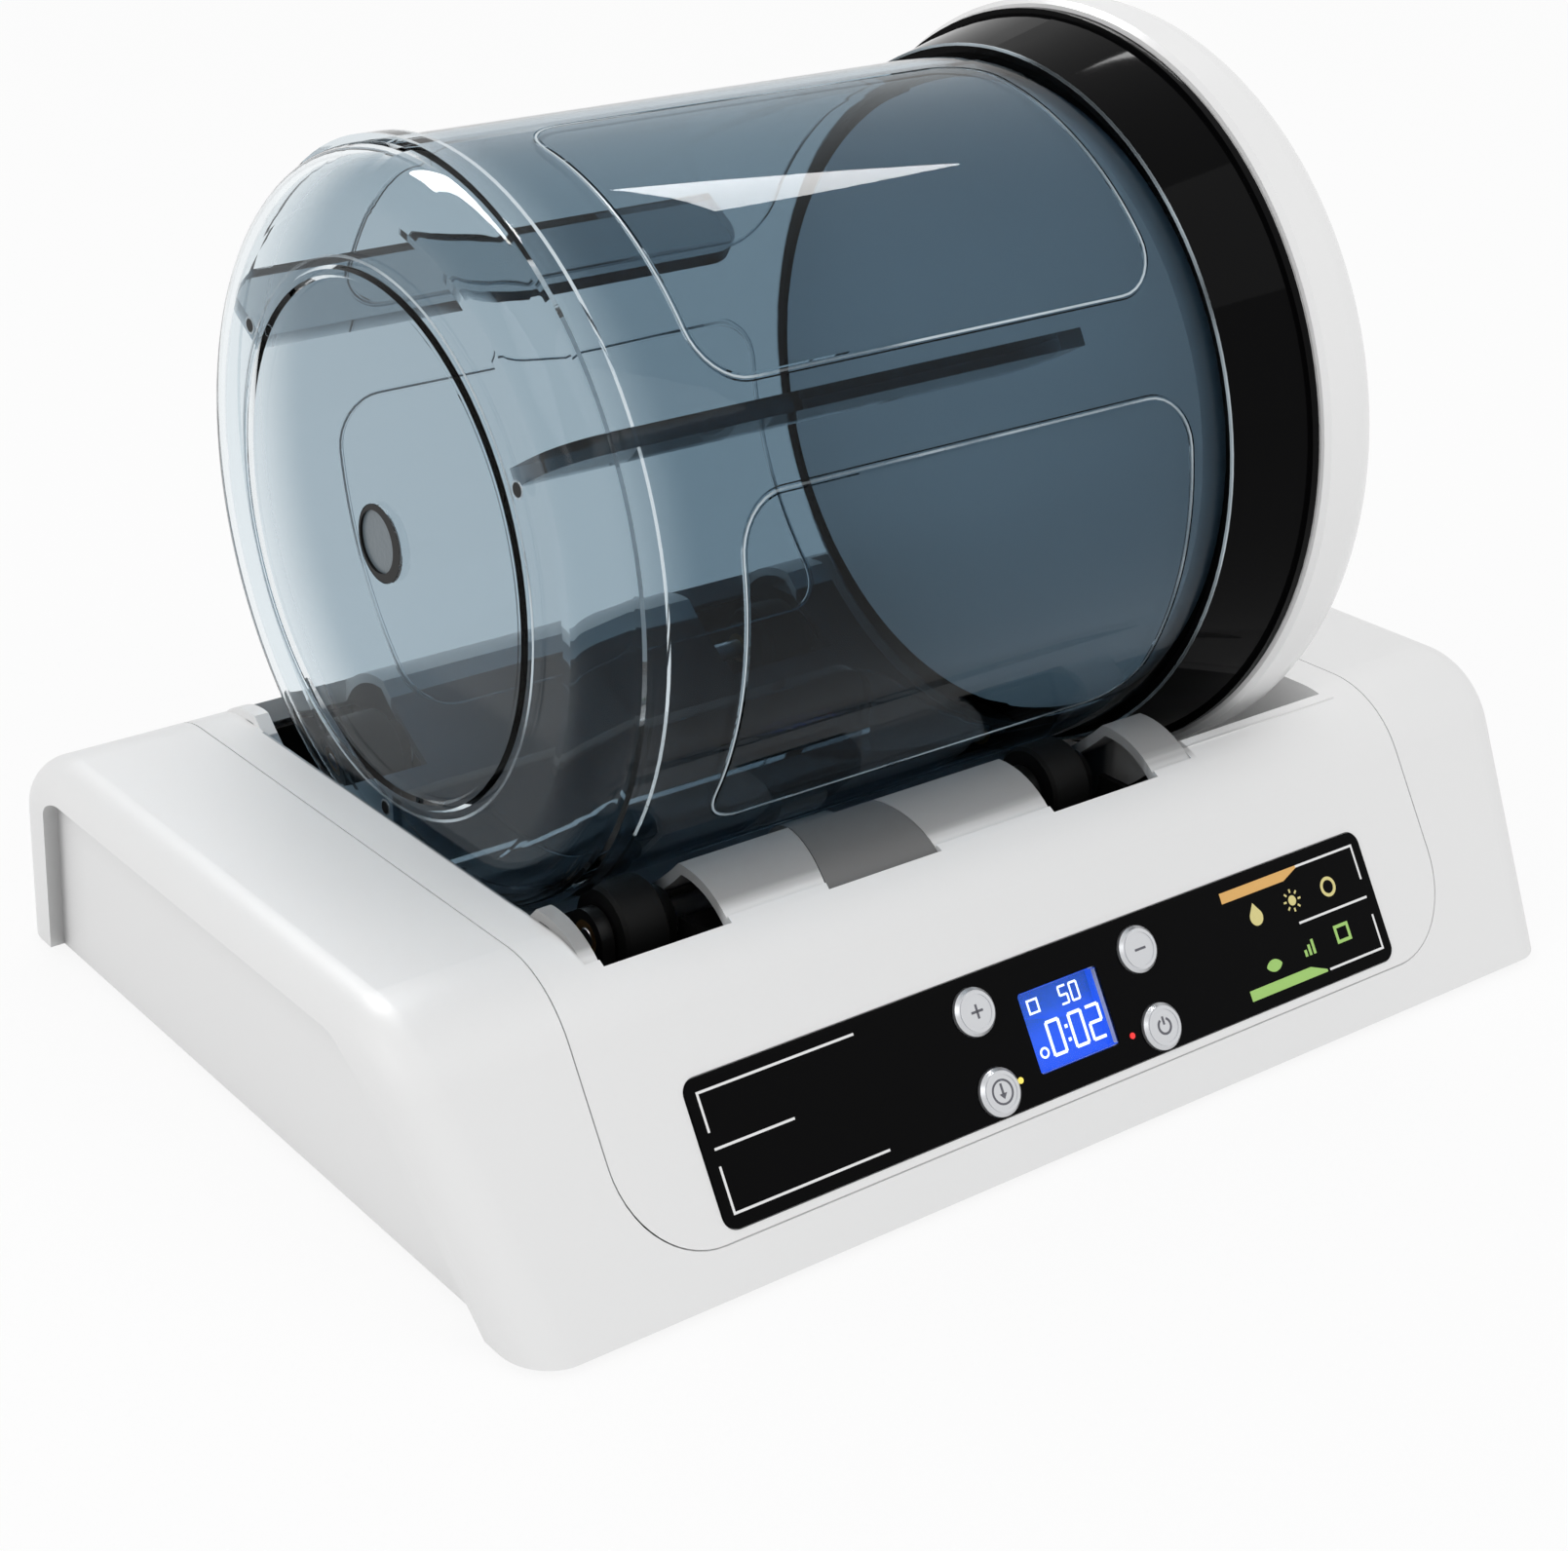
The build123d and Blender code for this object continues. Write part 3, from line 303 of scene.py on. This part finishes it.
looks = {
    # White plastic with painted shade in its creases
    "white_plastic": shade_creases(surface("white_plastic", WHITE, 0.45, **SMOOTH), PAINTED_CREASE_SHADE),
    # The cover in white, with painted shade on its front bench and in its trough
    "white_cover": shade_trough(
        surface("white_cover", WHITE, 0.45, **SMOOTH), PAINTED_BENCH_SHADE, PAINTED_TROUGH_SHADE, PAINTED_TROUGH_LEFT_SHADE
    ),
    "white_lid": surface("white_lid", LID_WHITE, 0.25, **SMOOTH),
    "smoked_clear": clear_end(
        surface("smoked_clear", DRUM_SMOKE, 0.01, grain=60.0, bump=0.004, vary=0.008, **CLEAR),
        DRUM_CLEAR,
    ),
    "smoked_rib": darken_with_depth(
        surface("smoked_rib", RIB_CLEAR, 0.02, bump=0.0, vary=0.01, **CLEAR), RIB_SMOKE, RIB_DENSITY
    ),
    "black_gloss": surface("black_gloss", DEEP_BLACK, 0.05, **POLISHED),
    "black_plastic": surface("black_plastic", (0.006, 0.006, 0.006), 0.38, **DULL),
    "grey_plastic": surface("grey_plastic", (0.13, 0.13, 0.13), 0.42),
    "clear_plastic": surface("clear_plastic", (0.42, 0.5, 0.56), 0.3),
    "black_rubber": surface("black_rubber", (0.005, 0.005, 0.005), 0.6, bump=0.06, **DULL),
    "grey_silicone": surface("grey_silicone", (0.5, 0.5, 0.5), 0.5),
    "steel": surface("steel", (0.56, 0.56, 0.57), 0.28, **METAL),
    "motor_can": surface("motor_can", (0.5, 0.5, 0.52), 0.35, **METAL),
    "bronze": surface("bronze", (0.5, 0.3, 0.12), 0.4, **METAL),
    "gear_nylon": surface("gear_nylon", (0.8, 0.78, 0.72), 0.4),
    "silver_button": surface("silver_button", (0.62, 0.63, 0.65), 0.3, Metallic=0.75),
    "display_glass": surface("display_glass", (0.95, 0.97, 1.0), 0.03, vary=0.01, **THIN_GLASS),
    "display_blue": glowing("display_blue", (0.02, 0.12, 0.75), 0.5),
    "board_green": surface("board_green", (0.03, 0.2, 0.07), 0.4),
    "switch_black": surface("switch_black", (0.015, 0.015, 0.015), 0.4),
}
own_looks = {"top_cover": "white_cover", "lid_seal": "black_rubber", "baffles": "smoked_rib"}
for name, node in nodes.items():
    look = looks[own_looks.get(name, slots[name])]
    for slot in node.material_slots:
        slot.material = look
    if not node.material_slots:
        node.data.materials.append(look)


# Flat shapes, as lists of points, and the thin pieces that are raised from them
CURVE_STEPS = 40
MITRE_LEAST = 0.3


def rectangle(x0, y0, x1, y1):
    """The corners of a rectangle."""
    return [(x0, y0), (x1, y0), (x1, y1), (x0, y1)]


def circle(x, y, radius, start=0.0, end=360.0, steps=CURVE_STEPS):
    """Points round a circle, or along an arc where start and end leave a gap."""
    closed = end - start >= 360
    count = steps if closed else steps + 1
    turns = [math.radians(start + (end - start) * i / steps) for i in range(count)]
    return [(x + radius * math.cos(a), y + radius * math.sin(a)) for a in turns]


def circle_ring(x, y, outer, inner, steps=CURVE_STEPS):
    """The outer and inner outlines of a flat ring."""
    return circle(x, y, outer, steps=steps), circle(x, y, inner, steps=steps)


def stroke(points, width):
    """The outline of a line of one width along points, with mitred corners."""
    sides = ([], [])
    for i, point in enumerate(points):
        here = Vector(point)
        before = (here - Vector(points[i - 1])).normalized() if i else None
        after = (Vector(points[i + 1]) - here).normalized() if i + 1 < len(points) else None
        way = before or after
        if before and after:
            way = (before + after).normalized()
        normal = Vector((-way.y, way.x))
        reach = width / 2
        if before and after:
            reach /= max(MITRE_LEAST, normal.dot(Vector((-before.y, before.x))))
        sides[0].append(tuple(here + normal * reach))
        sides[1].append(tuple(here - normal * reach))
    return sides[0] + sides[1][::-1]


def raised(name, outlines, base, top, place, material, body, rings=()):
    """A thin raised print or inlay made of outlines, and of rings given as outer and inner outlines."""
    shape = bmesh.new()
    for outline in outlines:
        lower = [shape.verts.new(place(x, y, base)) for x, y in outline]
        upper = [shape.verts.new(place(x, y, top)) for x, y in outline]
        shape.faces.new(upper)
        shape.faces.new(lower[::-1])
        for i in range(len(outline)):
            j = (i + 1) % len(outline)
            shape.faces.new((lower[i], lower[j], upper[j], upper[i]))
    for outer, inner in rings:
        # Four loops: outer low, outer high, inner low and inner high
        loops = [
            [shape.verts.new(place(x, y, height)) for x, y in outline]
            for outline in (outer, inner)
            for height in (base, top)
        ]
        for i in range(len(outer)):
            j = (i + 1) % len(outer)
            for a, b in ((0, 1), (1, 3), (3, 2), (2, 0)):
                shape.faces.new((loops[a][i], loops[a][j], loops[b][j], loops[b][i]))
    bmesh.ops.recalc_face_normals(shape, faces=shape.faces)
    mesh = bpy.data.meshes.new(name)
    shape.to_mesh(mesh)
    shape.free()
    mesh.materials.append(material)
    piece = bpy.data.objects.new(name, mesh)
    bpy.context.scene.collection.objects.link(piece)
    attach(piece, body)
    return piece


# The control panel's prints, in millimetres from the panel's centre
PANEL_NODE = "fascia"
PANEL_THICKNESS = 1.4
PRINT_THICKNESS = 0.06
LINE_WIDTH = 0.7
FRAME_END = 119.5
FRAME_RISE = 16
FLASH_EDGE = [(65, 13.2), (90, 13.2), (96, 15.6), (96, 16.35), (65, 16.35)]

ink_white = surface("ink_white", (0.8, 0.8, 0.8), 0.45)
ink_orange = surface("ink_orange", (0.75, 0.42, 0.12), 0.45)
ink_green = surface("ink_green", (0.35, 0.6, 0.15), 0.45)
ink_yellow = surface("ink_yellow", (0.7, 0.62, 0.25), 0.45)
ink_grey = surface("ink_grey", (0.1, 0.1, 0.12), 0.45)
led_red = glowing("led_red", (0.7, 0.02, 0.02), 0.6)
led_yellow = glowing("led_yellow", (0.75, 0.6, 0.1), 0.6)
segment_glow = glowing("segment_glow", (0.75, 0.85, 1.0), 0.8)


def panel_frame():
    """The panel's centre on its front face, and its right, up and outward ways."""
    low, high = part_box(PANEL_NODE)
    out = -Vector(joints["plus_button_press"]["axis"]).normalized()
    right = Vector((1, 0, 0))
    centre = (low + high) / 2 + out * PANEL_THICKNESS / 2 * MM
    return centre, right, out.cross(right), out


panel_centre, panel_right, panel_up, panel_out = panel_frame()


def on_panel(x, y, height):
    """The place of a point of the panel, in millimetres from its centre and above its face."""
    return panel_centre + (panel_right * x + panel_up * y + panel_out * height) * MM


def print_on_panel(name, outlines, ink, rings=()):
    """A flat print on the panel's face."""
    raised(name, outlines, 0, PRINT_THICKNESS, on_panel, ink, "base", rings=rings)


def add_panel_lines():
    """The thin white frame lines at both ends of the panel."""
    lines = [
        [(-69, FRAME_RISE), (-FRAME_END, FRAME_RISE), (-FRAME_END, 5.5)],
        [(-FRAME_END, 1), (-94, 1)],
        [(-FRAME_END, -3.5), (-FRAME_END, -FRAME_RISE), (-69, -FRAME_RISE)],
        [(96, FRAME_RISE), (FRAME_END, FRAME_RISE), (FRAME_END, 5.5)],
        [(91, 0), (FRAME_END, 0)],
        [(97, -FRAME_RISE), (FRAME_END, -FRAME_RISE), (FRAME_END, -5.5)],
    ]
    print_on_panel("panel_lines", [stroke(points, LINE_WIDTH) for points in lines], ink_white)


def add_banners():
    """An orange flash above and a green one below, at the right of the panel."""
    for name, side, ink in (("banner_orange", 1, ink_orange), ("banner_green", -1, ink_green)):
        print_on_panel(name, [[(x, side * y) for x, y in FLASH_EDGE]], ink)


def sun_outlines(x, y):
    """A small disc with eight rays round it."""
    centre = Vector((x, y))
    outlines = [circle(x, y, 1.5)]
    for turn in range(0, 360, 45):
        way = Vector((math.cos(math.radians(turn)), math.sin(math.radians(turn))))
        outlines.append(stroke([tuple(centre + way * 2.3), tuple(centre + way * 3.4)], 0.6))
    return outlines


def add_pictograms():
    """Plain pictograms: a drop, a sun and a ring under the orange flash, a leaf, bars and a square below."""
    drop = [(76, 10.5)] + circle(76, 6.2, 2.5, 140, 400)
    ring = circle_ring(106, 7, 3, 2)
    print_on_panel("pictograms_warm", [drop] + sun_outlines(91, 7), ink_yellow, rings=[ring])
    leaf = circle(77, -7, 3.6, 210, 330) + circle(77, -10.6, 3.6, 30, 150)
    bars = [rectangle(89.5 + 1.7 * i, -10, 90.5 + 1.7 * i, -8 + 1.2 * i) for i in range(3)]
    square = (rectangle(103, -10, 109, -4.5), rectangle(104, -9, 108, -5.5))
    print_on_panel("pictograms_green", [leaf] + bars, ink_green, rings=[square])


# The display's numbers lie just inside its window
NUMBER_BACK = -1.2
NUMBER_FRONT = -1.1
LARGE_DIGIT = {"y": -9.4, "width": 4.4, "height": 9.4}
LARGE_BAR = 0.9
SMALL_DIGIT = {"y": 3.0, "width": 2.6, "height": 5.0}
SMALL_BAR = 0.6


def digit_strokes(digit, x, y, width, height):
    """The lit bars of one seven-bar digit, as pairs of end points."""
    left, right, low, mid, top = x, x + width, y, y + height / 2, y + height
    bars = {
        "a": [(left, top), (right, top)],
        "b": [(right, top), (right, mid)],
        "c": [(right, mid), (right, low)],
        "d": [(left, low), (right, low)],
        "e": [(left, mid), (left, low)],
        "f": [(left, top), (left, mid)],
        "g": [(left, mid), (right, mid)],
    }
    lit = {"0": "abcdef", "2": "abged", "5": "afgcd"}[digit]
    return [bars[key] for key in lit]


def add_display():
    """Plain numbers on the display, with a small ring and a small square."""
    outlines = []
    for digit, x in (("0", -7.4), ("0", 0.8), ("2", 7.2)):
        outlines += [stroke(bar, LARGE_BAR) for bar in digit_strokes(digit, x, **LARGE_DIGIT)]
    outlines += [rectangle(-1.4, y, -0.4, y + 1) for y in (-7.2, -3.4)]
    for digit, x in (("5", 0.2), ("0", 4.2)):
        outlines += [stroke(bar, SMALL_BAR) for bar in digit_strokes(digit, x, **SMALL_DIGIT)]
    rings = [
        circle_ring(-10.6, -7.6, 1.6, 1.0),
        (rectangle(-11.6, 3.4, -7.6, 7.6), rectangle(-11.0, 4.0, -8.2, 7.0)),
    ]
    raised(
        "display_numbers", outlines, NUMBER_BACK, NUMBER_FRONT, on_panel, segment_glow, "base", rings=rings
    )


# The buttons stand above and below the panel's middle, at both sides of the display
BUTTON_X = 30.0
BUTTON_RISE = 11.4
BUTTON_SHIFT = -1.4
BUTTON_FACE = 1.8
RIM_OUTER = 5.6
RIM_INNER = 4.8
RIM_TOP = BUTTON_FACE + 0.24
SIGN_TOP = BUTTON_FACE + 0.06
SIGN_WIDTH = 0.7


def add_button_face(body, x, y, outlines, rings):
    """A button's bright rim and the dark sign on its face, moving with the button."""

    def place(across, up, height):
        return on_panel(x + across, y + up + BUTTON_SHIFT, height)

    rim = circle_ring(0, 0, RIM_OUTER, RIM_INNER)
    raised(body + "_rim", [], BUTTON_FACE, RIM_TOP, place, looks["silver_button"], body, rings=[rim])
    raised(body + "_sign", outlines, BUTTON_FACE, SIGN_TOP, place, ink_grey, body, rings=rings)


def add_button_faces():
    """Plain signs: plus, minus, an arrow into a ring for the vacuum, and the usual power sign."""
    level = stroke([(-2, 0), (2, 0)], SIGN_WIDTH)
    upright = stroke([(0, -2), (0, 2)], SIGN_WIDTH)
    arrow = [stroke([(0, 2.4), (0, -0.6)], SIGN_WIDTH), [(-1.3, -0.4), (0, -2.0), (1.3, -0.4)]]
    power = [stroke(circle(0, 0, 2.2, 120, 420), SIGN_WIDTH), stroke([(0, 0.4), (0, 2.8)], SIGN_WIDTH)]
    add_button_face("plus_button", -BUTTON_X, BUTTON_RISE, [level, upright], [])
    add_button_face("minus_button", BUTTON_X, BUTTON_RISE, [level], [])
    add_button_face("vacuum_button", -BUTTON_X, -BUTTON_RISE, arrow, [circle_ring(0, 0, 3.6, 3.0)])
    add_button_face("power_button", BUTTON_X, -BUTTON_RISE, power, [])


LAMP_RADIUS = 0.9
LAMP_TOP = 0.25


def add_lamps():
    """The small red and yellow indicator lamps in the panel."""
    lamps = (("lamp_red", 19.3, -12.2, led_red), ("lamp_yellow", -22, -12, led_yellow))
    for name, x, y, material in lamps:
        raised(name, [circle(x, y, LAMP_RADIUS)], 0, LAMP_TOP, on_panel, material, "base")


add_panel_lines()
add_banners()
add_pictograms()
add_display()
add_button_faces()
add_lamps()


# The drum's painted highlight lines, its hub with a painted shadow, and its pegs, in millimetres from the drum's
# axis and along it
DRUM_RADIUS = 104.0
DRUM_END = -133.0
WINDOW_FIRST = 61.0
WINDOW_COUNT = 5
WINDOW_SPAN = 57.0
WINDOW_START = -88.0
WINDOW_LENGTH = 154.0
WINDOW_CORNER = 15.0
CORNER_STEPS = 8
SIDE_STEPS = 24
GROOVE_INSETS = (0.4, 0.95)
GROOVE_BASE = -0.55
GROOVE_TOP = -0.1
ROUND_STEPS = 120
BEAD_RADIUS = 72.5
BEAD_LINE_OUTER = BEAD_RADIUS + 4.4
BEAD_LINE_INNER = BEAD_RADIUS + 3.6
BEAD_LINE_TOP = 0.15
HUB_RADIUS = 10.8
HUB_BASE = -1.35
HUB_FLOOR = -0.9
HUB_TOP = -0.05
HUB_SHADOW_WIDTH = 2.0
HUB_SHADOW_SHIFT = -1.6
PEG_COUNT = 3
PEG_CIRCLE = 80.0
PEG_FIRST = 26.0
PEG_RADIUS = 1.9
PEG_TOP = 0.25
PEG_RING_WIDTH = 0.6
PEG_RING_TOP = 0.2
COLLAR_START = 78.1
COLLAR_LINE_OUTER = DRUM_RADIUS + 3.0
COLLAR_LINE_INNER = DRUM_RADIUS + 2.2
COLLAR_LINE_WIDTH = 0.6

# A pale material for painted highlights on the drum's edges, coming and going along them
painted_edge_highlight = come_and_go(surface("painted_edge_highlight", (0.5, 0.58, 0.63), 0.15), 16.0, 0.12)
hub_grey = surface("hub_grey", (0.12, 0.15, 0.17), 0.3, grain=500.0, bump=0.3)


def on_drum(x, angle, radius):
    """A place on the drum, at an angle that turns from its front towards its top."""
    turn = math.radians(angle)
    way = Vector((0, -math.cos(turn), math.sin(turn)))
    return Vector((x * MM, drum_centre.y, drum_centre.z)) + way * radius * MM


def on_end(right, up, height):
    """A place on the drum's closed end, from its centre and above its face."""
    return Vector(((DRUM_END - height) * MM, drum_centre.y - right * MM, drum_centre.z + up * MM))


def steps_between(start, end):
    """Even steps on the way from one point to another, without both of them."""
    start = Vector(start)
    ahead = Vector(end) - start
    return [tuple(start + ahead * step / SIDE_STEPS) for step in range(1, SIDE_STEPS)]


def rounded_outline(x0, y0, x1, y1, corner):
    """The points of a rectangle with round corners, with even steps along its sides."""
    points = []
    for x, y, start in ((x1, y1, 0), (x0, y1, 90), (x0, y0, 180), (x1, y0, 270)):
        centre_x = x - corner if x == x1 else x + corner
        centre_y = y - corner if y == y1 else y + corner
        arc = circle(centre_x, centre_y, corner, start, start + 90, steps=CORNER_STEPS)
        if points:
            points += steps_between(points[-1], arc[0])
        points += arc
    return points + steps_between(points[-1], points[0])


def add_window_edges():
    """A painted highlight along the groove round each of the drum's shallow windows."""
    half = DRUM_RADIUS * math.sin(math.radians(WINDOW_SPAN / 2))
    end = WINDOW_START + WINDOW_LENGTH
    ring = tuple(
        rounded_outline(WINDOW_START + inset, inset - half, end - inset, half - inset, WINDOW_CORNER - inset)
        for inset in GROOVE_INSETS
    )
    for index in range(WINDOW_COUNT):
        middle = WINDOW_FIRST + index * 360 / WINDOW_COUNT

        def place(x, across, height):
            angle = middle + math.degrees(math.asin(across / DRUM_RADIUS))
            return on_drum(x, angle, DRUM_RADIUS + height)

        raised(f"window_edge_{index}", [], GROOVE_BASE, GROOVE_TOP, place, painted_edge_highlight, "drum", rings=[ring])


def add_bead_line():
    """A painted highlight beside the bead on the drum's closed end."""
    ring = circle_ring(0, 0, BEAD_LINE_OUTER, BEAD_LINE_INNER, ROUND_STEPS)
    raised("bead_line", [], 0, BEAD_LINE_TOP, on_end, painted_edge_highlight, "drum", rings=[ring])


def add_hub():
    """The moulded gate in the middle of the drum's end: a grey disc, with a painted shadow as a black crescent on
    one side.
    """
    edge = circle(0, 0, HUB_RADIUS)
    raised("hub_disc", [edge], HUB_BASE, HUB_FLOOR, on_end, hub_grey, "drum")
    # Painted shadow: a black ring, off centre, that makes a crescent at one side of the disc
    shadow_crescent = (edge, circle(HUB_SHADOW_SHIFT, 0, HUB_RADIUS - HUB_SHADOW_WIDTH))
    raised("hub_painted_shadow", [], HUB_FLOOR, HUB_TOP, on_end, looks["black_plastic"], "drum", rings=[shadow_crescent])


def add_pegs():
    """The dark pegs that hold the baffles at the drum's closed end, each in a ring of painted highlight."""
    for index in range(PEG_COUNT):
        turn = math.radians(PEG_FIRST + index * 360 / PEG_COUNT)
        x = math.cos(turn) * PEG_CIRCLE
        y = math.sin(turn) * PEG_CIRCLE
        peg = circle(x, y, PEG_RADIUS)
        raised(f"peg_{index}", [peg], 0, PEG_TOP, on_end, looks["black_plastic"], "drum")
        ring = circle_ring(x, y, PEG_RADIUS + PEG_RING_WIDTH, PEG_RADIUS)
        raised(f"peg_ring_{index}", [], 0, PEG_RING_TOP, on_end, painted_edge_highlight, "drum", rings=[ring])


def add_collar_line():
    """A thin raised ring of painted highlight between the drum and its black collar."""

    def place(around, out, height):
        angle = math.degrees(math.atan2(out, around))
        return on_drum(COLLAR_START + height, angle, math.hypot(around, out))

    ring = circle_ring(0, 0, COLLAR_LINE_OUTER, COLLAR_LINE_INNER, ROUND_STEPS)
    raised("collar_line", [], -COLLAR_LINE_WIDTH, 0.0, place, painted_edge_highlight, "drum", rings=[ring])


add_window_edges()
add_bead_line()
add_hub()
add_pegs()
add_collar_line()


# The photograph's camera: its focal length and width in pixels, its place and the way it looks
PHOTO_WIDTH = 1609
FOCAL_PIXELS = 2980
SENSOR_WIDTH = 36.0
CAMERA_PLACE = Vector((-482.9, -648.0, 429.5)) * MM
CAMERA_WAY = Vector((0.544, 0.7274, -0.4182))
CAMERA_NEAR = 50 * MM


def add_camera():
    """The photograph's view: no roll, looking down on the front left corner."""
    data = bpy.data.cameras.new("camera")
    data.sensor_width = SENSOR_WIDTH
    data.sensor_fit = "HORIZONTAL"
    data.lens = SENSOR_WIDTH * FOCAL_PIXELS / PHOTO_WIDTH
    data.clip_start = CAMERA_NEAR
    camera = bpy.data.objects.new("camera", data)
    camera.location = CAMERA_PLACE
    camera.rotation_euler = CAMERA_WAY.to_track_quat("-Z", "Y").to_euler()
    bpy.context.scene.collection.objects.link(camera)
    bpy.context.scene.camera = camera


# The light and the floor, in metres, watts and shares of white
WORLD_LIGHT = 0.78
FLOOR_HALF = 15.0
FLOOR_GLOW = 0.88
FLOOR_WHITE = (0.9, 0.9, 0.9)
LAMP_POWER = 7
KEY_PLACE = (0.5, -1.5, 1.9)
KEY_SIZE = (1.4, 1.4)
FILL_PLACE = (-1.8, -0.4, 1.3)
FILL_SIZE = (1.2, 1.2)
GLINT_HEIGHT = 1.0
GLINT_DRUM = [(0.449, 0.356), (0.46, 0.1), (0.53, 0.1), (0.646, 0.12), (0.645, 0.13)]
GLINT_DRUM_STRENGTH = 26
GLINT_SHOULDER = [
    (-0.25, 0.48),
    (-0.2, 0.75),
    (0.26, 0.68),
    (0.36, 0.4),
    (0.325, 0.05),
    (0.14, 0.07),
    (0.02, 0.38),
]
GLINT_SHOULDER_STRENGTH = 45


def add_softbox(name, place, size, power):
    """A rectangular soft lamp that points at the drum."""
    data = bpy.data.lights.new(name, "AREA")
    data.shape = "RECTANGLE"
    data.size, data.size_y = size
    data.energy = power
    lamp = bpy.data.objects.new(name, data)
    lamp.location = place
    lamp.rotation_euler = (drum_centre - Vector(place)).to_track_quat("-Z", "Y").to_euler()
    bpy.context.scene.collection.objects.link(lamp)


def seen_directly(tree):
    """1 for rays from the camera, a mirror or a clear piece, and 0 for light that falls on things."""
    path = tree.nodes.new("ShaderNodeLightPath").outputs
    seen_or_mirrored = math_node(tree, "MAXIMUM", path["Is Camera Ray"], path["Is Glossy Ray"])
    return math_node(tree, "MAXIMUM", seen_or_mirrored, path["Is Transmission Ray"])


def add_world():
    """White where it is seen, and a plain soft light where it falls on the object."""
    world = bpy.data.worlds.new("studio")
    bpy.context.scene.world = world
    world.use_nodes = True
    tree = world.node_tree
    tree.nodes.clear()
    output = tree.nodes.new("ShaderNodeOutputWorld")
    mix = tree.nodes.new("ShaderNodeMixShader")
    for index, strength in ((1, WORLD_LIGHT), (2, 1.0)):
        background = tree.nodes.new("ShaderNodeBackground")
        background.inputs["Color"].default_value = (1, 1, 1, 1)
        background.inputs["Strength"].default_value = strength
        tree.links.new(background.outputs[0], mix.inputs[index])
    tree.links.new(seen_directly(tree), mix.inputs[0])
    tree.links.new(mix.outputs[0], output.inputs["Surface"])


def add_floor():
    """A wide white floor that keeps a faint shadow."""
    material, tree, output = new_material("floor_white")
    diffuse = tree.nodes.new("ShaderNodeBsdfDiffuse")
    diffuse.inputs["Color"].default_value = (*FLOOR_WHITE, 1.0)
    shine = tree.nodes.new("ShaderNodeEmission")
    shine.inputs["Strength"].default_value = 1.0
    share = tree.nodes.new("ShaderNodeMath")
    share.operation = "MULTIPLY"
    share.inputs[1].default_value = FLOOR_GLOW
    mix = tree.nodes.new("ShaderNodeMixShader")
    tree.links.new(seen_directly(tree), share.inputs[0])
    tree.links.new(share.outputs[0], mix.inputs[0])
    tree.links.new(diffuse.outputs[0], mix.inputs[1])
    tree.links.new(shine.outputs[0], mix.inputs[2])
    tree.links.new(mix.outputs[0], output.inputs["Surface"])
    mesh = bpy.data.meshes.new("floor")
    corners = rectangle(-FLOOR_HALF, -FLOOR_HALF, FLOOR_HALF, FLOOR_HALF)
    mesh.from_pydata([(x, y, 0) for x, y in corners], [], [range(len(corners))])
    mesh.materials.append(material)
    floor = bpy.data.objects.new("floor", mesh)
    bpy.context.scene.collection.objects.link(floor)


def add_glint(name, corners, strength):
    """A lit card above the object that shows only as a highlight on glossy pieces."""
    material, tree, output = new_material(name)
    shine = tree.nodes.new("ShaderNodeEmission")
    shine.inputs["Strength"].default_value = strength
    tree.links.new(shine.outputs[0], output.inputs["Surface"])
    mesh = bpy.data.meshes.new(name)
    mesh.from_pydata([(x, y, GLINT_HEIGHT) for x, y in corners], [], [range(len(corners))])
    mesh.materials.append(material)
    card = bpy.data.objects.new(name, mesh)
    card.visible_camera = False
    card.visible_diffuse = False
    card.visible_transmission = False
    card.visible_shadow = False
    bpy.context.scene.collection.objects.link(card)


add_camera()
add_world()
add_floor()
add_softbox("key", KEY_PLACE, KEY_SIZE, LAMP_POWER)
add_softbox("fill", FILL_PLACE, FILL_SIZE, LAMP_POWER)
add_glint("glint_drum", GLINT_DRUM, GLINT_DRUM_STRENGTH)
add_glint("glint_shoulder", GLINT_SHOULDER, GLINT_SHOULDER_STRENGTH)
bpy.context.scene.view_settings.view_transform = "Standard"
